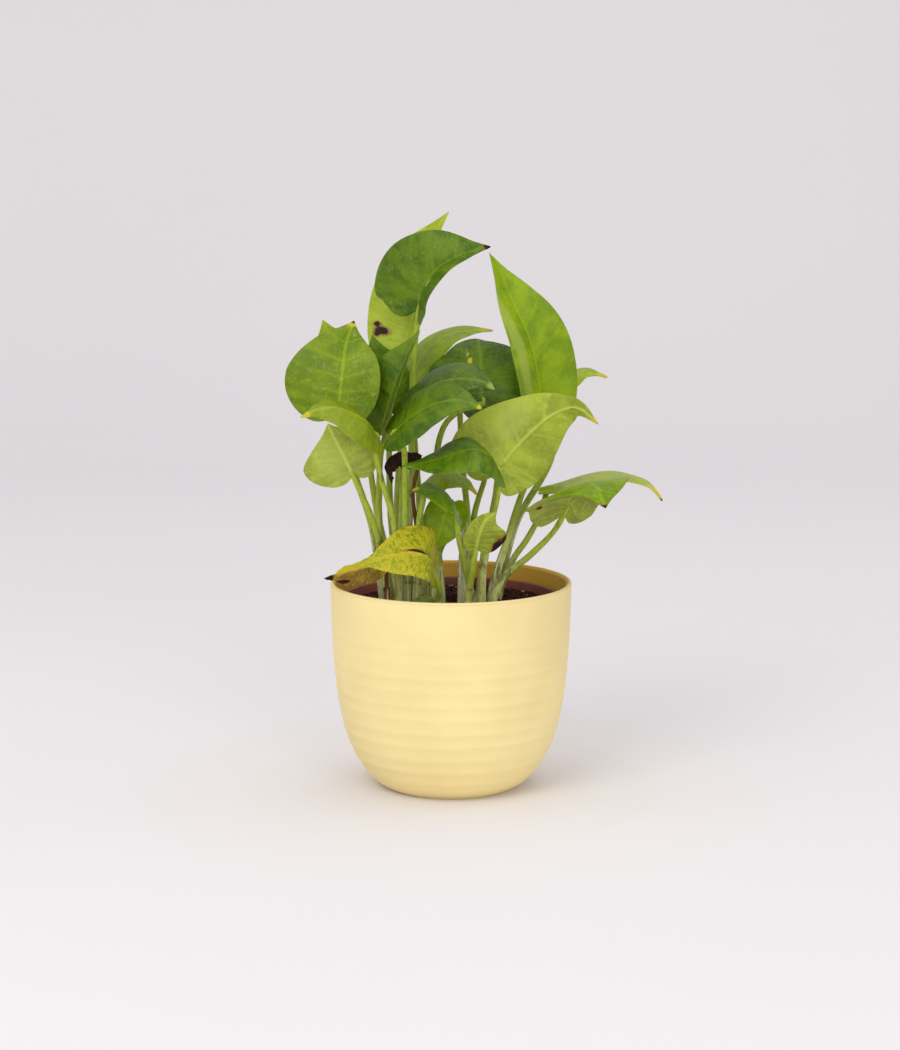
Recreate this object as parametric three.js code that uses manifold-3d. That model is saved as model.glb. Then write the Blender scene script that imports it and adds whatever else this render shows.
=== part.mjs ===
// A young golden pothos (money plant) in its brown grow pot, standing inside a ribbed yellow planter.
// Millimetres, +Z up. The origin is the middle of the planter's foot, and -Y is the side it is seen from.
import * as THREE from "three";
import { mergeVertices } from "three/addons/utils/BufferGeometryUtils.js";
import Module from "manifold-3d";

const wasm = await Module();
wasm.setup();

// Planter
const PLANTER_HEIGHT = 112;
const RIM_RADIUS = 65;
const FOOT_RADIUS = 35;
const PLANTER_WALL = 2.4;
const PLANTER_FLOOR = 3;
const LIP_ROUND = 0.9;
const RIB_COUNT = 11;
const RIBS_FROM = 6.4; // the lowest rib's start above the foot
const PLAIN_BAND = 22; // the smooth band below the rim
const RIB_DEPTH = 0.35;
const ROUND_STEPS = 40;

// Grow pot, which stands on the planter's floor, and the soil in it
const GAP = 0.3;
const GROW_POT_DROP = 8.6; // its rim below the planter's rim
const GROW_POT_WALL = 1.1;
const GROW_POT_CLEARANCE = 1.7; // between its rim and the planter's wall
const GROW_POT_FOOT_RADIUS = 33;
const GROW_POT_RIM_HEIGHT = 7;
const DRAIN_COUNT = 6;
const DRAIN_RADIUS = 4;
const SOIL_DROP = 4; // the soil's edge below the grow pot's rim
const SOIL_CROWN = 2.5;

// Living parts
const BLADE_THICKNESS = 0.8;
const BLADE_STATIONS = 10;
const HALF_BLADE_STRIPS = 2;
const STALK_SIDES = 6;
const STALK_STEPS = 9;
const STALK_FOOT_RADIUS = 2.2;
const STALK_TOP_RADIUS = 1.4;
const STALK_TO_NOTCH = 1.1;
const SHORTEST_EDGE = 0.05;

// Half of a heart-shaped blade: the share of its length, and of its half width, from the notch to the tip.
const MARGIN = [
  [0, 0],
  [-0.1, 0.24],
  [-0.1, 0.5],
  [0.01, 0.79],
  [0.19, 0.97],
  [0.39, 0.98],
  [0.57, 0.82],
  [0.73, 0.54],
  [0.87, 0.22],
  [1, 0],
];
// Where on the midrib the side vein to each of those margin points starts.
const VEIN_STARTS = [0, 0.01, 0.03, 0.07, 0.15, 0.27, 0.43, 0.62, 0.82, 1];
// The blade's first and last lines, as shares of the way round its margin.
const BLADE_FROM = 0.025;
const BLADE_TO = 0.985;

const COLOURS = {
  planter: 0xf2dd9a,
  growPot: 0x6b3328,
  soil: 0x3a1d14,
  deep: 0x3f7a12,
  mid: 0x5c9420,
  lime: 0x9ab83a,
  pale: 0xa9bf52,
  yellow: 0xb5b030,
  dead: 0xa8862f,
  brown: 0x2e1a15,
  stalk: 0x8fb04a,
  dryStalk: 0x6e4a28,
  sheath: 0xc9d3a4,
  vine: 0x7c9a3c,
};

// Each leaf: how far its left and right halves reach from the midrib, the way its upper side faces halfway
// along, the angle each half stands up by and how much more it curls by at its margin, how near its base it
// is widest (more than 1 is nearer), its midrib from the stalk to the tip, and the points its stalk passes
// from the soil up. Heights are from the planter's rim.
const LEAVES = [
  { name: "crown", colour: "deep", half: [28, 17], face: [-0.2, -0.97, 0.15],
    fold: [0, 55], curl: [-5, 0], belly: [1.35, 1.35],
    rib: [[-17, -10, 147], [-16, -12, 155], [-12, -14, 163], [-4, -16, 171], [6, -16, 176], [21, -12, 180]],
    stalk: [[-26, -10, -20], [-26, -10, -8], [-23, -7, 23], [-21, -5, 61], [-21, -5, 98], [-19, -6, 128]] },
  { name: "crown_back", colour: "pale", half: [26, 18], face: [-0.35, -0.9, 0.15],
    fold: [0, 50], curl: [0, 0], belly: [1.1, 1.1],
    rib: [[-26, 14, 122], [-21, 17, 139], [-18, 20, 158], [-11, 20, 179], [-1, 18, 197]],
    stalk: [[-32, 5, -20], [-32, 5, -9], [-30, 8, 27], [-28, 10, 59], [-26, 12, 88]] },
  { name: "tall_right", colour: "mid", half: [20, 22], face: [0.15, -0.97, 0.15],
    fold: [43, 3], curl: [0, 0], belly: [0.95, 0.95],
    rib: [[48, 10, 84], [47, 8, 105], [42, 4, 129], [32, 2, 151], [20, 6, 176]],
    stalk: [[21, -3, -20], [21, -3, -10], [25, 0, 6], [31, 3, 24], [37, 6, 43], [45, 9, 64]] },
  { name: "broad_right", colour: "mid", half: [22, 30], face: [-0.2, 0.95, 0.1],
    fold: [0, 5], curl: [0, 25], belly: [1.5, 2],
    rib: [[25, -30, 62], [29, -28, 70], [39, -26, 81], [50, -26, 91], [59, -28, 96],
      [67, -32, 97], [77, -36, 89]],
    stalk: [[15, -12, -20], [15, -12, -8], [18, -16, 14], [20, -20, 31], [23, -26, 48]] },
  { name: "front_centre", colour: "deep", half: [17.5, 20], face: [0, -0.28, 0.96],
    fold: [-15, 0], curl: [-8, -12], belly: [1, 1],
    rib: [[25, -50, 67], [21, -53, 74], [13, -56, 79], [2, -58, 77], [-10, -58, 73], [-25, -56, 70]],
    stalk: [[16, -24, -20], [16, -24, -6], [17, -31, 17], [20, -36, 34], [24, -43, 51]] },
  { name: "narrow_left", colour: "deep", half: [22, 16], face: [-0.6, -0.78, 0.1],
    fold: [8, 60], curl: [0, 0], belly: [1, 1],
    rib: [[-34, -24, 84], [-30, -27, 101], [-24, -25, 119], [-16, -20, 137]],
    stalk: [[-35, -10, -20], [-35, -10, -7], [-38, -14, 35], [-38, -16, 52], [-37, -20, 71]] },
  { name: "big_left", colour: "mid", half: [30, 22], face: [-0.1, -0.9, 0.4],
    fold: [8, 12], curl: [-10, 0], belly: [1, 1],
    rib: [[-59, -24, 94], [-57, -22, 114], [-55, -16, 129], [-51, -8, 141]],
    stalk: [[-37, 2, -20], [-37, 2, -9], [-42, -6, 29], [-50, -14, 57], [-56, -20, 79]] },
  { name: "lime_left", colour: "lime", half: [19, 18], face: [-0.1, -0.3, 0.95],
    fold: [-20, 0], curl: [-10, -15], belly: [1, 1],
    rib: [[-38, -46, 85], [-44, -51, 93], [-57, -56, 100], [-68, -60, 100], [-77, -62, 96]],
    stalk: [[-28, -24, -20], [-28, -24, -5], [-28, -27, 16], [-30, -32, 38], [-36, -38, 60],
      [-39, -43, 76]] },
  { name: "low_left", colour: "pale", half: [17, 24], face: [0.1, 0.98, 0.1],
    fold: [5, 5], curl: [0, 0], belly: [1, 1],
    rib: [[-51, -34, 62], [-57, -38, 76], [-64, -38, 90]],
    stalk: [[-32, -16, -20], [-32, -16, -6], [-36, -22, 18], [-41, -28, 37], [-47, -32, 52]] },
  { name: "arch_back", colour: "lime", half: [14, 16], face: [-0.5, -0.35, 0.8],
    fold: [0, 0], curl: [-10, -10], belly: [1, 1],
    rib: [[-21, 26, 108], [-15, 28, 120], [-4, 31, 129], [9, 33, 132], [23, 33, 132]],
    stalk: [[-14, 12, -20], [-14, 12, -7], [-18, 18, 52], [-21, 26, 89]] },
  { name: "round_centre", colour: "deep", half: [28, 27], face: [0.05, -0.75, 0.65],
    fold: [0, 0], curl: [-6, -6], belly: [1, 1],
    rib: [[17, 0, 97], [16, 4, 108], [16, 12, 119], [15, 19, 126], [15, 29, 128]],
    stalk: [[-5, -6, -20], [-5, -6, -8], [-7, -6, 23], [-8, -5, 61], [-5, -3, 81], [3, -2, 91]] },
  { name: "speckled_centre", colour: "deep", half: [22, 18], face: [0, -0.45, 0.9],
    fold: [0, 0], curl: [-10, -18], belly: [1, 1],
    rib: [[-22, -28, 99], [-8, -32, 110], [5, -36, 113], [16, -40, 112], [23, -42, 108]],
    stalk: [[-28, -14, -20], [-28, -14, -6], [-26, -18, 47], [-26, -22, 79], [-25, -25, 93]] },
  { name: "dark_centre", colour: "deep", half: [22, 20], face: [-0.05, -0.5, 0.87],
    fold: [0, 0], curl: [-8, -8], belly: [1, 1],
    rib: [[-30, -44, 86], [-20, -49, 95], [-8, -53, 102], [5, -56, 104], [16, -58, 100]],
    stalk: [[-23, -20, -20], [-23, -20, -5], [-24, -30, 35], [-24, -38, 68], [-25, -43, 79]] },
  { name: "cupped_centre", colour: "lime", half: [13, 11], face: [0.1, -0.3, 0.94],
    fold: [0, 0], curl: [-20, -20], belly: [1, 1],
    rib: [[-13, -28, 54], [-4, -27, 60], [6, -28, 58], [14, -30, 51]],
    stalk: [[-18, -24, -20], [-18, -24, -4], [-17, -29, 16], [-17, -30, 35], [-15, -30, 47]] },
  { name: "saddle_low", colour: "deep", half: [17, 15], face: [0.1, -0.4, 0.92],
    fold: [5, -5], curl: [-20, -20], belly: [1, 1],
    rib: [[3, -50, 45], [-1, -54, 54], [-10, -58, 58], [-22, -60, 58]],
    stalk: [[11, -22, -20], [11, -22, -5], [7, -34, 16], [4, -45, 32]] },
  { name: "scorched_low", colour: "mid", half: [15, 8], face: [-0.2, 0.9, 0.35],
    fold: [0, 0], curl: [0, 0], belly: [1, 1],
    rib: [[13, -42, 25], [15, -47, 34], [18, -50, 41], [24, -52, 46]],
    stalk: [[9, -30, -20], [9, -30, -4], [11, -36, 10]] },
  { name: "olive_low", colour: "mid", half: [13, 11], face: [-0.2, -0.95, 0.1],
    fold: [15, 15], curl: [0, 0], belly: [1, 1],
    rib: [[0, -20, 45], [-4, -25, 37], [-9, -26, 20]],
    stalk: [[-10, -8, -20], [-10, -8, -7], [-6, -12, 18], [-1, -14, 27], [2, -16, 38]] },
  { name: "yellow_front", colour: "yellow", half: [14, 20], face: [0, -0.8, 0.6],
    fold: [0, 0], curl: [0, 0], belly: [1, 1.6],
    rib: [[-9, -44, 13], [-11, -50, 20], [-19, -54, 24], [-33, -58, 23], [-49, -58, 18]],
    stalk: [[-7, -32, -20], [-7, -32, -6], [-6, -38, 2]] },
  { name: "low_right", colour: "mid", half: [25, 34], face: [-0.1, 0.35, 0.93],
    fold: [5, -16], curl: [0, -8], belly: [0.65, 1.1],
    rib: [[60, -10, 38], [63, -13, 46], [67, -20, 53], [71, -30, 58], [76, -42, 57], [80, -50, 47]],
    stalk: [[23, -12, -20], [23, -12, -8], [30, -9, 5], [42, -8, 15], [54, -8, 27]] },
  { name: "trailing_right", colour: "pale", half: [17, 17], face: [0, -0.03, 0.99],
    fold: [0, 0], curl: [-12, -12], belly: [1, 1],
    rib: [[53, 4, 50], [67, 6, 54], [80, 6, 57], [95, 4, 56], [106, -1, 52], [113, -6, 44]],
    stalk: [[26, 5, -20], [26, 5, -8], [33, 0, 11], [41, 0, 23], [48, 3, 36]] },
  { name: "back_right", colour: "lime", half: [17, 9], face: [0, -0.2, 0.97],
    fold: [0, 0], curl: [-15, -15], belly: [1, 1],
    rib: [[51, 40, 93], [63, 44, 102], [74, 47, 107], [86, 46, 105]],
    stalk: [[27, 14, -20], [27, 14, -5], [36, 16, 30], [55, 19, 66]] },
  { name: "back_left", colour: "pale", half: [18, 18], face: [-0.3, -0.7, 0.6],
    fold: [0, 0], curl: [0, 0], belly: [1, 1],
    rib: [[-48, 20, 98], [-57, 23, 113], [-65, 23, 128], [-69, 20, 139]],
    stalk: [[-30, 12, -20], [-30, 12, -6], [-39, 12, 31], [-45, 14, 69]] },
  { name: "shade_left", colour: "deep", half: [15, 16], face: [-0.2, -0.9, 0.2],
    fold: [0, 0], curl: [0, 0], belly: [1, 1],
    rib: [[-33, 0, 92], [-36, 2, 106], [-39, 4, 119], [-42, 6, 132]],
    stalk: [[-27, 0, -20], [-27, 0, -6], [-32, -1, 33], [-33, -1, 66]] },
  { name: "hidden_back", colour: "deep", half: [25, 25], face: [0.1, 0.75, 0.6],
    fold: [0, 0], curl: [-8, -8], belly: [1, 1],
    rib: [[5, 34, 89], [5, 44, 100], [5, 58, 107], [6, 74, 105]],
    stalk: [[9, 6, -20], [9, 6, -6], [9, 8, 32], [6, 18, 63]] },
  { name: "dead_front", colour: "dead", half: [11, 4.5], face: [0.1, -0.75, 0.6],
    fold: [8, 10], curl: [-8, 0], belly: [1, 1],
    rib: [[-36, -34, 20], [-40, -34, 15], [-48, -31, 12], [-57, -27, 9], [-67, -22, 5]],
    stalk: [[-34, -27, -20], [-34, -27, -4], [-34, -29, 6], [-34, -32, 14]] },
  { name: "shrivelled", colour: "brown", half: [6, 6], face: [0.1, -0.6, 0.7],
    fold: [25, 25], curl: [10, 10], belly: [1, 1],
    rib: [[-17, -28, 69], [-21, -30, 68], [-27, -30, 68], [-31, -30, 65], [-31, -29, 57]],
    stalk: [[-20, -12, -20], [-20, -12, -7], [-18, -16, 25], [-20, -19, 51]] },
  { name: "low_back", colour: "lime", half: [22, 20], face: [0.2, 0.8, 0.55],
    fold: [0, 0], curl: [-8, -8], belly: [1, 1],
    rib: [[25, 20, 75], [30, 34, 80], [38, 50, 79], [45, 66, 73]],
    stalk: [[10, 12, -20], [10, 12, -6], [12, 10, 31], [18, 12, 53]] },
];

// Stems with no leaf left on them: their route from the soil up, and their radius at each end.
const BARE_STEMS = [
  { name: "vine_stub", colour: "vine", radii: [3.4, 3.1],
    route: [[-24, -37, -20], [-22, -36, -11], [-17, -34, -6], [-10, -32, -4]] },
  { name: "pale_sheath", colour: "sheath", radii: [2.9, 1.3],
    route: [[6, -8, -20], [6, -8, -8], [6, -7, 13], [8, -6, 36]] },
];

const vec = (p) => new THREE.Vector3(...p);
const spline = (points) => new THREE.CatmullRomCurve3(points.map(vec), false, "catmullrom", 0.5);

// Stalks that are too thick for their spacing in the soil push the whole plant apart sideways.
const FEET = [...LEAVES.map((leaf) => leaf.stalk[0]), ...BARE_STEMS.map((stem) => stem.route[0])].map(vec);
const CLOSEST_FEET = Math.min(...FEET.flatMap((a, i) => FEET.slice(i + 1).map((b) => a.distanceTo(b))));
const SPREAD = Math.max(1, (2 * STALK_FOOT_RADIUS) / CLOSEST_FEET);
const fromRim = (points) => points.map(([x, y, z]) => [x * SPREAD, y * SPREAD, z + PLANTER_HEIGHT]);
const marginSpline = spline(MARGIN.map(([along, across]) => [along, across, 0]));
const veinSpline = spline(VEIN_STARTS.map((start) => [start, 0, 0]));

const plant = new THREE.Group();
plant.name = "potted_pothos";

function addMesh(name, geometry, colour, roughness) {
  const material = new THREE.MeshStandardMaterial({ color: COLOURS[colour], roughness, metalness: 0 });
  const mesh = new THREE.Mesh(geometry, material);
  mesh.name = name;
  plant.add(mesh);
}

function indexed(positions, triangles) {
  const geometry = new THREE.BufferGeometry();
  geometry.setAttribute("position", new THREE.Float32BufferAttribute(positions, 3));
  geometry.setIndex(triangles);
  geometry.computeVertexNormals();
  return geometry;
}

// Solids, for cutting one shape out of another
function solidOf(geometry, tolerance = 1e-3) {
  const bare = geometry.clone();
  bare.deleteAttribute("normal");
  bare.deleteAttribute("uv");
  const merged = mergeVertices(bare, tolerance);
  return new wasm.Manifold(
    new wasm.Mesh({
      numProp: 3,
      vertProperties: new Float32Array(merged.attributes.position.array),
      triVerts: new Uint32Array(merged.index.array),
    }),
  );
}

function geometryOf(solid) {
  const mesh = solid.getMesh();
  return indexed(Array.from(mesh.vertProperties), Array.from(mesh.triVerts));
}

// What is left after a cut: its biggest piece, with corners closer than SHORTEST_EDGE made one.
function tidied(solid) {
  const [biggest] = solid.decompose().sort((a, b) => b.volume() - a.volume());
  return geometryOf(solidOf(geometryOf(biggest), SHORTEST_EDGE));
}

// A tube with closed ends along a route, whose radius goes evenly from one value to another.
function taperedTube(route, startRadius, endRadius) {
  const curve = spline(fromRim(route));
  const frames = curve.computeFrenetFrames(STALK_STEPS, false);
  const positions = [];
  const triangles = [];
  for (let i = 0; i <= STALK_STEPS; i++) {
    const centre = curve.getPointAt(i / STALK_STEPS);
    const radius = THREE.MathUtils.lerp(startRadius, endRadius, i / STALK_STEPS);
    for (let j = 0; j < STALK_SIDES; j++) {
      const turn = (2 * Math.PI * j) / STALK_SIDES;
      const point = centre
        .clone()
        .addScaledVector(frames.normals[i], radius * Math.cos(turn))
        .addScaledVector(frames.binormals[i], radius * Math.sin(turn));
      positions.push(...point.toArray());
    }
  }
  for (let i = 0; i < STALK_STEPS; i++)
    for (let j = 0; j < STALK_SIDES; j++) {
      const a = i * STALK_SIDES + j;
      const b = i * STALK_SIDES + ((j + 1) % STALK_SIDES);
      triangles.push(a, b, b + STALK_SIDES, a, b + STALK_SIDES, a + STALK_SIDES);
    }
  const last = STALK_STEPS * STALK_SIDES;
  for (let j = 1; j < STALK_SIDES - 1; j++) {
    triangles.push(0, j + 1, j);
    triangles.push(last, last + j, last + j + 1);
  }
  return indexed(positions, triangles);
}

// A midrib's frames: its point, the way it runs, its upper side and its right-hand side. The upper side is
// set halfway along and carried to both ends without twisting.
function ribFrames(leaf, count = 40) {
  const curve = spline(fromRim(leaf.rib));
  const frames = [];
  for (let i = 0; i <= count; i++)
    frames.push({ point: curve.getPointAt(i / count), along: curve.getTangentAt(i / count) });
  const middle = count / 2;
  const square = (up, along) => up.clone().addScaledVector(along, -up.dot(along)).normalize();
  frames[middle].up = square(vec(leaf.face), frames[middle].along);
  for (let i = middle + 1; i <= count; i++) frames[i].up = square(frames[i - 1].up, frames[i].along);
  for (let i = middle - 1; i >= 0; i--) frames[i].up = square(frames[i + 1].up, frames[i].along);
  for (const frame of frames) frame.right = new THREE.Vector3().crossVectors(frame.along, frame.up);
  return { frames, length: curve.getLength() };
}

// The point of a blade at a share of the way round its margin (0 notch, 1 tip) and across it (-1 left margin,
// 0 midrib, 1 right margin), at a height off the blade's middle surface.
function bladePoint(leaf, { frames, length }, share, across, height) {
  const margin = marginSpline.getPoint(share);
  const start = veinSpline.getPoint(share).x;
  const reached = THREE.MathUtils.lerp(start, margin.x, Math.abs(across));
  const side = across < 0 ? 0 : 1;
  const along = reached > 0 ? reached ** leaf.belly[side] : reached;
  const reach = leaf.half[side] * margin.y * Math.abs(across);
  const fold = THREE.MathUtils.degToRad(leaf.fold[side]);
  const curl = THREE.MathUtils.degToRad(leaf.curl[side]) / leaf.half[side];
  const turn = fold + curl * reach;
  const flat = Math.abs(curl) < 1e-6;
  const outward = flat ? reach * Math.cos(fold) : (Math.sin(turn) - Math.sin(fold)) / curl;
  const upward = flat ? reach * Math.sin(fold) : (Math.cos(fold) - Math.cos(turn)) / curl;
  const place = THREE.MathUtils.clamp(along, 0, 0.9999) * (frames.length - 1);
  const low = frames[Math.floor(place)];
  const high = frames[Math.floor(place) + 1];
  const mixed = (key) => low[key].clone().lerp(high[key], place % 1);
  const sign = side ? 1 : -1;
  const tilt = across === 0 ? 0 : turn;
  return mixed("point")
    .addScaledVector(mixed("along"), Math.min(along, 0) * length)
    .addScaledVector(mixed("right"), sign * (outward - height * Math.sin(tilt)))
    .addScaledVector(mixed("up"), upward + height * Math.cos(tilt));
}

// A blade of a thickness: its upper and under sides, then the edge that joins them.
function bladeGeometry(leaf, thickness) {
  const rib = ribFrames(leaf);
  const strips = 2 * HALF_BLADE_STRIPS;
  const row = strips + 1;
  const positions = [];
  const triangles = [];
  for (const height of [thickness / 2, -thickness / 2])
    for (let i = 0; i <= BLADE_STATIONS; i++)
      for (let j = 0; j <= strips; j++) {
        const share = THREE.MathUtils.lerp(BLADE_FROM, BLADE_TO, i / BLADE_STATIONS);
        positions.push(...bladePoint(leaf, rib, share, j / HALF_BLADE_STRIPS - 1, height).toArray());
      }
  const under = (BLADE_STATIONS + 1) * row;
  const quad = (a, b, c, d) => triangles.push(a, b, c, a, c, d);
  for (let i = 0; i < BLADE_STATIONS; i++)
    for (let j = 0; j < strips; j++) {
      const a = i * row + j;
      quad(a, a + 1, a + row + 1, a + row);
      quad(under + a, under + a + row, under + a + row + 1, under + a + 1);
    }
  for (let j = 0; j < strips; j++) {
    const end = BLADE_STATIONS * row + j;
    quad(j, under + j, under + j + 1, j + 1);
    quad(end, end + 1, under + end + 1, under + end);
  }
  for (let i = 0; i < BLADE_STATIONS; i++) {
    const left = i * row;
    const right = left + strips;
    quad(left, left + row, under + left + row, under + left);
    quad(right, under + right, under + right + row, right + row);
  }
  return indexed(positions, triangles);
}

// Planter: a turned cup whose wall bows out from the foot, with shallow ribs below a plain band.
// How far its outline has gone from the foot's radius to the rim's, at shares of its height.
const OUTLINE = new THREE.SplineCurve(
  [
    [0, 0],
    [0.25, 0.045],
    [0.467, 0.12],
    [0.643, 0.205],
    [0.767, 0.304],
    [0.863, 0.43],
    [0.923, 0.563],
    [0.96, 0.696],
    [0.983, 0.84],
    [1, 1],
  ].map(([outward, up]) => new THREE.Vector2(outward, up)),
).getPoints(90);

function outlineRadius(z) {
  const up = z / PLANTER_HEIGHT;
  const i = Math.max(1, OUTLINE.findIndex((point) => point.y >= up));
  const [low, high] = [OUTLINE[i - 1], OUTLINE[i]];
  const outward = THREE.MathUtils.mapLinear(up, low.y, high.y, low.x, high.x);
  return THREE.MathUtils.lerp(FOOT_RADIUS, RIM_RADIUS, outward);
}

function turned(points, steps = ROUND_STEPS) {
  return new THREE.LatheGeometry(points.map(([radius, z]) => new THREE.Vector2(radius, z)), steps)
    .rotateX(Math.PI / 2);
}

function planterGeometry() {
  const ribsTo = PLANTER_HEIGHT - PLAIN_BAND;
  const pitch = (ribsTo - RIBS_FROM) / RIB_COUNT;
  const profile = [[0, 0], [FOOT_RADIUS, 0]];
  for (let rib = 0; rib < RIB_COUNT; rib++) {
    const groove = RIBS_FROM + rib * pitch;
    profile.push([outlineRadius(groove) - RIB_DEPTH, groove]);
    profile.push([outlineRadius(groove + pitch / 2) + RIB_DEPTH, groove + pitch / 2]);
  }
  profile.push([outlineRadius(ribsTo) - RIB_DEPTH, ribsTo], [outlineRadius(ribsTo + 2), ribsTo + 2]);
  profile.push([RIM_RADIUS, PLANTER_HEIGHT - LIP_ROUND], [RIM_RADIUS - LIP_ROUND / 2, PLANTER_HEIGHT]);
  profile.push([RIM_RADIUS - PLANTER_WALL + LIP_ROUND / 2, PLANTER_HEIGHT]);
  const innerRadius = (z) => outlineRadius(z) - RIB_DEPTH - PLANTER_WALL;
  profile.push([innerRadius(PLANTER_HEIGHT) + RIB_DEPTH, PLANTER_HEIGHT - LIP_ROUND]);
  for (const share of [0.7, 0.43, 0.25, 0.13, 0.06])
    profile.push([innerRadius(PLANTER_HEIGHT * share), PLANTER_HEIGHT * share]);
  profile.push([innerRadius(PLANTER_FLOOR) - 1, PLANTER_FLOOR], [0, PLANTER_FLOOR]);
  return turned(profile);
}

// Grow pot: a thin tapered pot with a thicker band at its rim and drain holes in its floor.
const POT_BASE = PLANTER_FLOOR + GAP;
const POT_TOP = PLANTER_HEIGHT - GROW_POT_DROP;
const POT_BAND = POT_TOP - GROW_POT_RIM_HEIGHT;
const POT_RIM_RADIUS = outlineRadius(POT_TOP) - PLANTER_WALL - RIB_DEPTH - GROW_POT_CLEARANCE;

function potRadius(z) {
  return THREE.MathUtils.mapLinear(z, POT_BASE, POT_TOP, GROW_POT_FOOT_RADIUS, POT_RIM_RADIUS - GROW_POT_WALL);
}

function growPotGeometry() {
  const inner = (z) => potRadius(z) - GROW_POT_WALL;
  const floor = POT_BASE + GROW_POT_WALL;
  const pot = turned([
    [0, POT_BASE],
    [potRadius(POT_BASE), POT_BASE],
    [potRadius(POT_BAND - 1), POT_BAND - 1],
    [POT_RIM_RADIUS, POT_BAND],
    [POT_RIM_RADIUS, POT_TOP],
    [inner(POT_TOP), POT_TOP],
    [inner(floor), floor],
    [0, floor],
  ]);
  let solid = solidOf(pot);
  for (let i = 0; i < DRAIN_COUNT; i++) {
    const turn = (2 * Math.PI * i) / DRAIN_COUNT;
    const reach = GROW_POT_FOOT_RADIUS * 0.62;
    const hole = new THREE.CylinderGeometry(DRAIN_RADIUS, DRAIN_RADIUS, 4 * GROW_POT_WALL, 12)
      .rotateX(Math.PI / 2)
      .translate(reach * Math.cos(turn), reach * Math.sin(turn), POT_BASE);
    solid = solid.subtract(solidOf(hole));
  }
  return geometryOf(solid);
}

// Soil: it fills the grow pot and is a little higher in the middle.
const SOIL_EDGE = POT_TOP - SOIL_DROP;

function soilSolid() {
  const inner = (z) => potRadius(z) - GROW_POT_WALL - GAP;
  const floor = POT_BASE + GROW_POT_WALL + GAP;
  const profile = [[0, floor], [inner(floor), floor], [inner(SOIL_EDGE), SOIL_EDGE]];
  for (const share of [0.85, 0.6, 0.3, 0]) {
    const rise = SOIL_CROWN * (1 - share * share);
    profile.push([inner(SOIL_EDGE) * share, SOIL_EDGE + rise]);
  }
  return solidOf(turned(profile));
}

addMesh("planter", planterGeometry(), "planter", 0.6);
addMesh("grow_pot", growPotGeometry(), "growPot", 0.6);

let soil = soilSolid();
for (const leaf of LEAVES) {
  const joint = vec(leaf.rib[0]).addScaledVector(spline(leaf.rib).getTangentAt(0), -STALK_TO_NOTCH);
  const route = [...leaf.stalk, joint.toArray()];
  const clearance = solidOf(bladeGeometry(leaf, BLADE_THICKNESS + 2 * GAP));
  const stalk = solidOf(taperedTube(route, STALK_FOOT_RADIUS, STALK_TOP_RADIUS)).subtract(clearance);
  const socket = taperedTube(route, STALK_FOOT_RADIUS + GAP, STALK_TOP_RADIUS + GAP);
  soil = soil.subtract(solidOf(socket));
  const dry = ["dead", "brown"].includes(leaf.colour);
  addMesh(`leaf_${leaf.name}`, bladeGeometry(leaf, BLADE_THICKNESS), leaf.colour, dry ? 0.8 : 0.4);
  addMesh(`stalk_${leaf.name}`, tidied(stalk), dry ? "dryStalk" : "stalk", 0.5);
}
for (const { name, colour, radii, route } of BARE_STEMS) {
  addMesh(name, taperedTube(route, ...radii), colour, 0.6);
  soil = soil.subtract(solidOf(taperedTube(route, radii[0] + GAP, radii[1] + GAP)));
}
addMesh("soil", tidied(soil), "soil", 0.95);

export default plant;
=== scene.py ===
"""Looks of the potted pothos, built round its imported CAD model. Metres, +Z up, seen from -Y."""

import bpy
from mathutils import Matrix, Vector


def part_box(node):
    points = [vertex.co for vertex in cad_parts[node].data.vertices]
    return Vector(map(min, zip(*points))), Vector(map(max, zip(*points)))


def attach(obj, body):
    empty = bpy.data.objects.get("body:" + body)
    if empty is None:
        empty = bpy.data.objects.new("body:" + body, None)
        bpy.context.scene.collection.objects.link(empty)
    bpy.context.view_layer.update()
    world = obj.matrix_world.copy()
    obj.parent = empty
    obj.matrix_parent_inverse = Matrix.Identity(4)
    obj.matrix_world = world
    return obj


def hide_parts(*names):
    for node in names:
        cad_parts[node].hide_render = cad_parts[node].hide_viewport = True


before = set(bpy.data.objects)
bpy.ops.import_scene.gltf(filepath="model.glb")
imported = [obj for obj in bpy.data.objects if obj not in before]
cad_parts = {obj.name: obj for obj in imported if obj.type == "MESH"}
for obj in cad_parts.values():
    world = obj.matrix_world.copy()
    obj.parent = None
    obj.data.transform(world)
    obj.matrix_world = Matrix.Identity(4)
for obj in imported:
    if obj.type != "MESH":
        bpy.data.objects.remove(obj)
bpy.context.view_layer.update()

import math
import random

import bpy
import numpy as np
from mathutils import Matrix, Vector

MM = 0.001
UP = np.array((0.0, 0.0, 1.0))
# The smallest curl that is worked with, in radians for each millimetre.
NO_CURL = 1e-6
# Where a wave may start, in radians.
ANY_PHASE = (0, 6.28)

# What the CAD model's own shapes are worked out from, in millimetres.
RIM_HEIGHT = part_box("planter")[1].z / MM
RIM_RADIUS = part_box("planter")[1].x / MM
FOOT_RADIUS = 35.0
PLANTER_WALL = 2.4
PLANTER_FLOOR = 3.0
PLAIN_BAND = 22.0
RIBS_FROM = 6.4
RIB_COUNT = 11
GAP = 0.3
POT_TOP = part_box("grow_pot")[1].z / MM
POT_RIM_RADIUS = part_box("grow_pot")[1].x / MM
POT_FOOT_RADIUS = 33.0
POT_WALL = 1.1
POT_BAND = 7.0
SOIL_EDGE = POT_TOP - 4.0
SOIL_CROWN = 2.5
PLANTER_SIDES = 160
POT_SIDES = 120
LIP_RADIUS = 1.2
STALK_RADII = (2.2, 1.4)
STALK_TO_NOTCH = 1.1

# Half of a heart-shaped blade, from the notch to the tip: the share of its length and of its half width.
MARGIN = [
    (0, 0), (-0.1, 0.24), (-0.1, 0.5), (0.01, 0.79), (0.19, 0.97),
    (0.39, 0.98), (0.57, 0.82), (0.73, 0.54), (0.87, 0.22), (1, 0),
]
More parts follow.
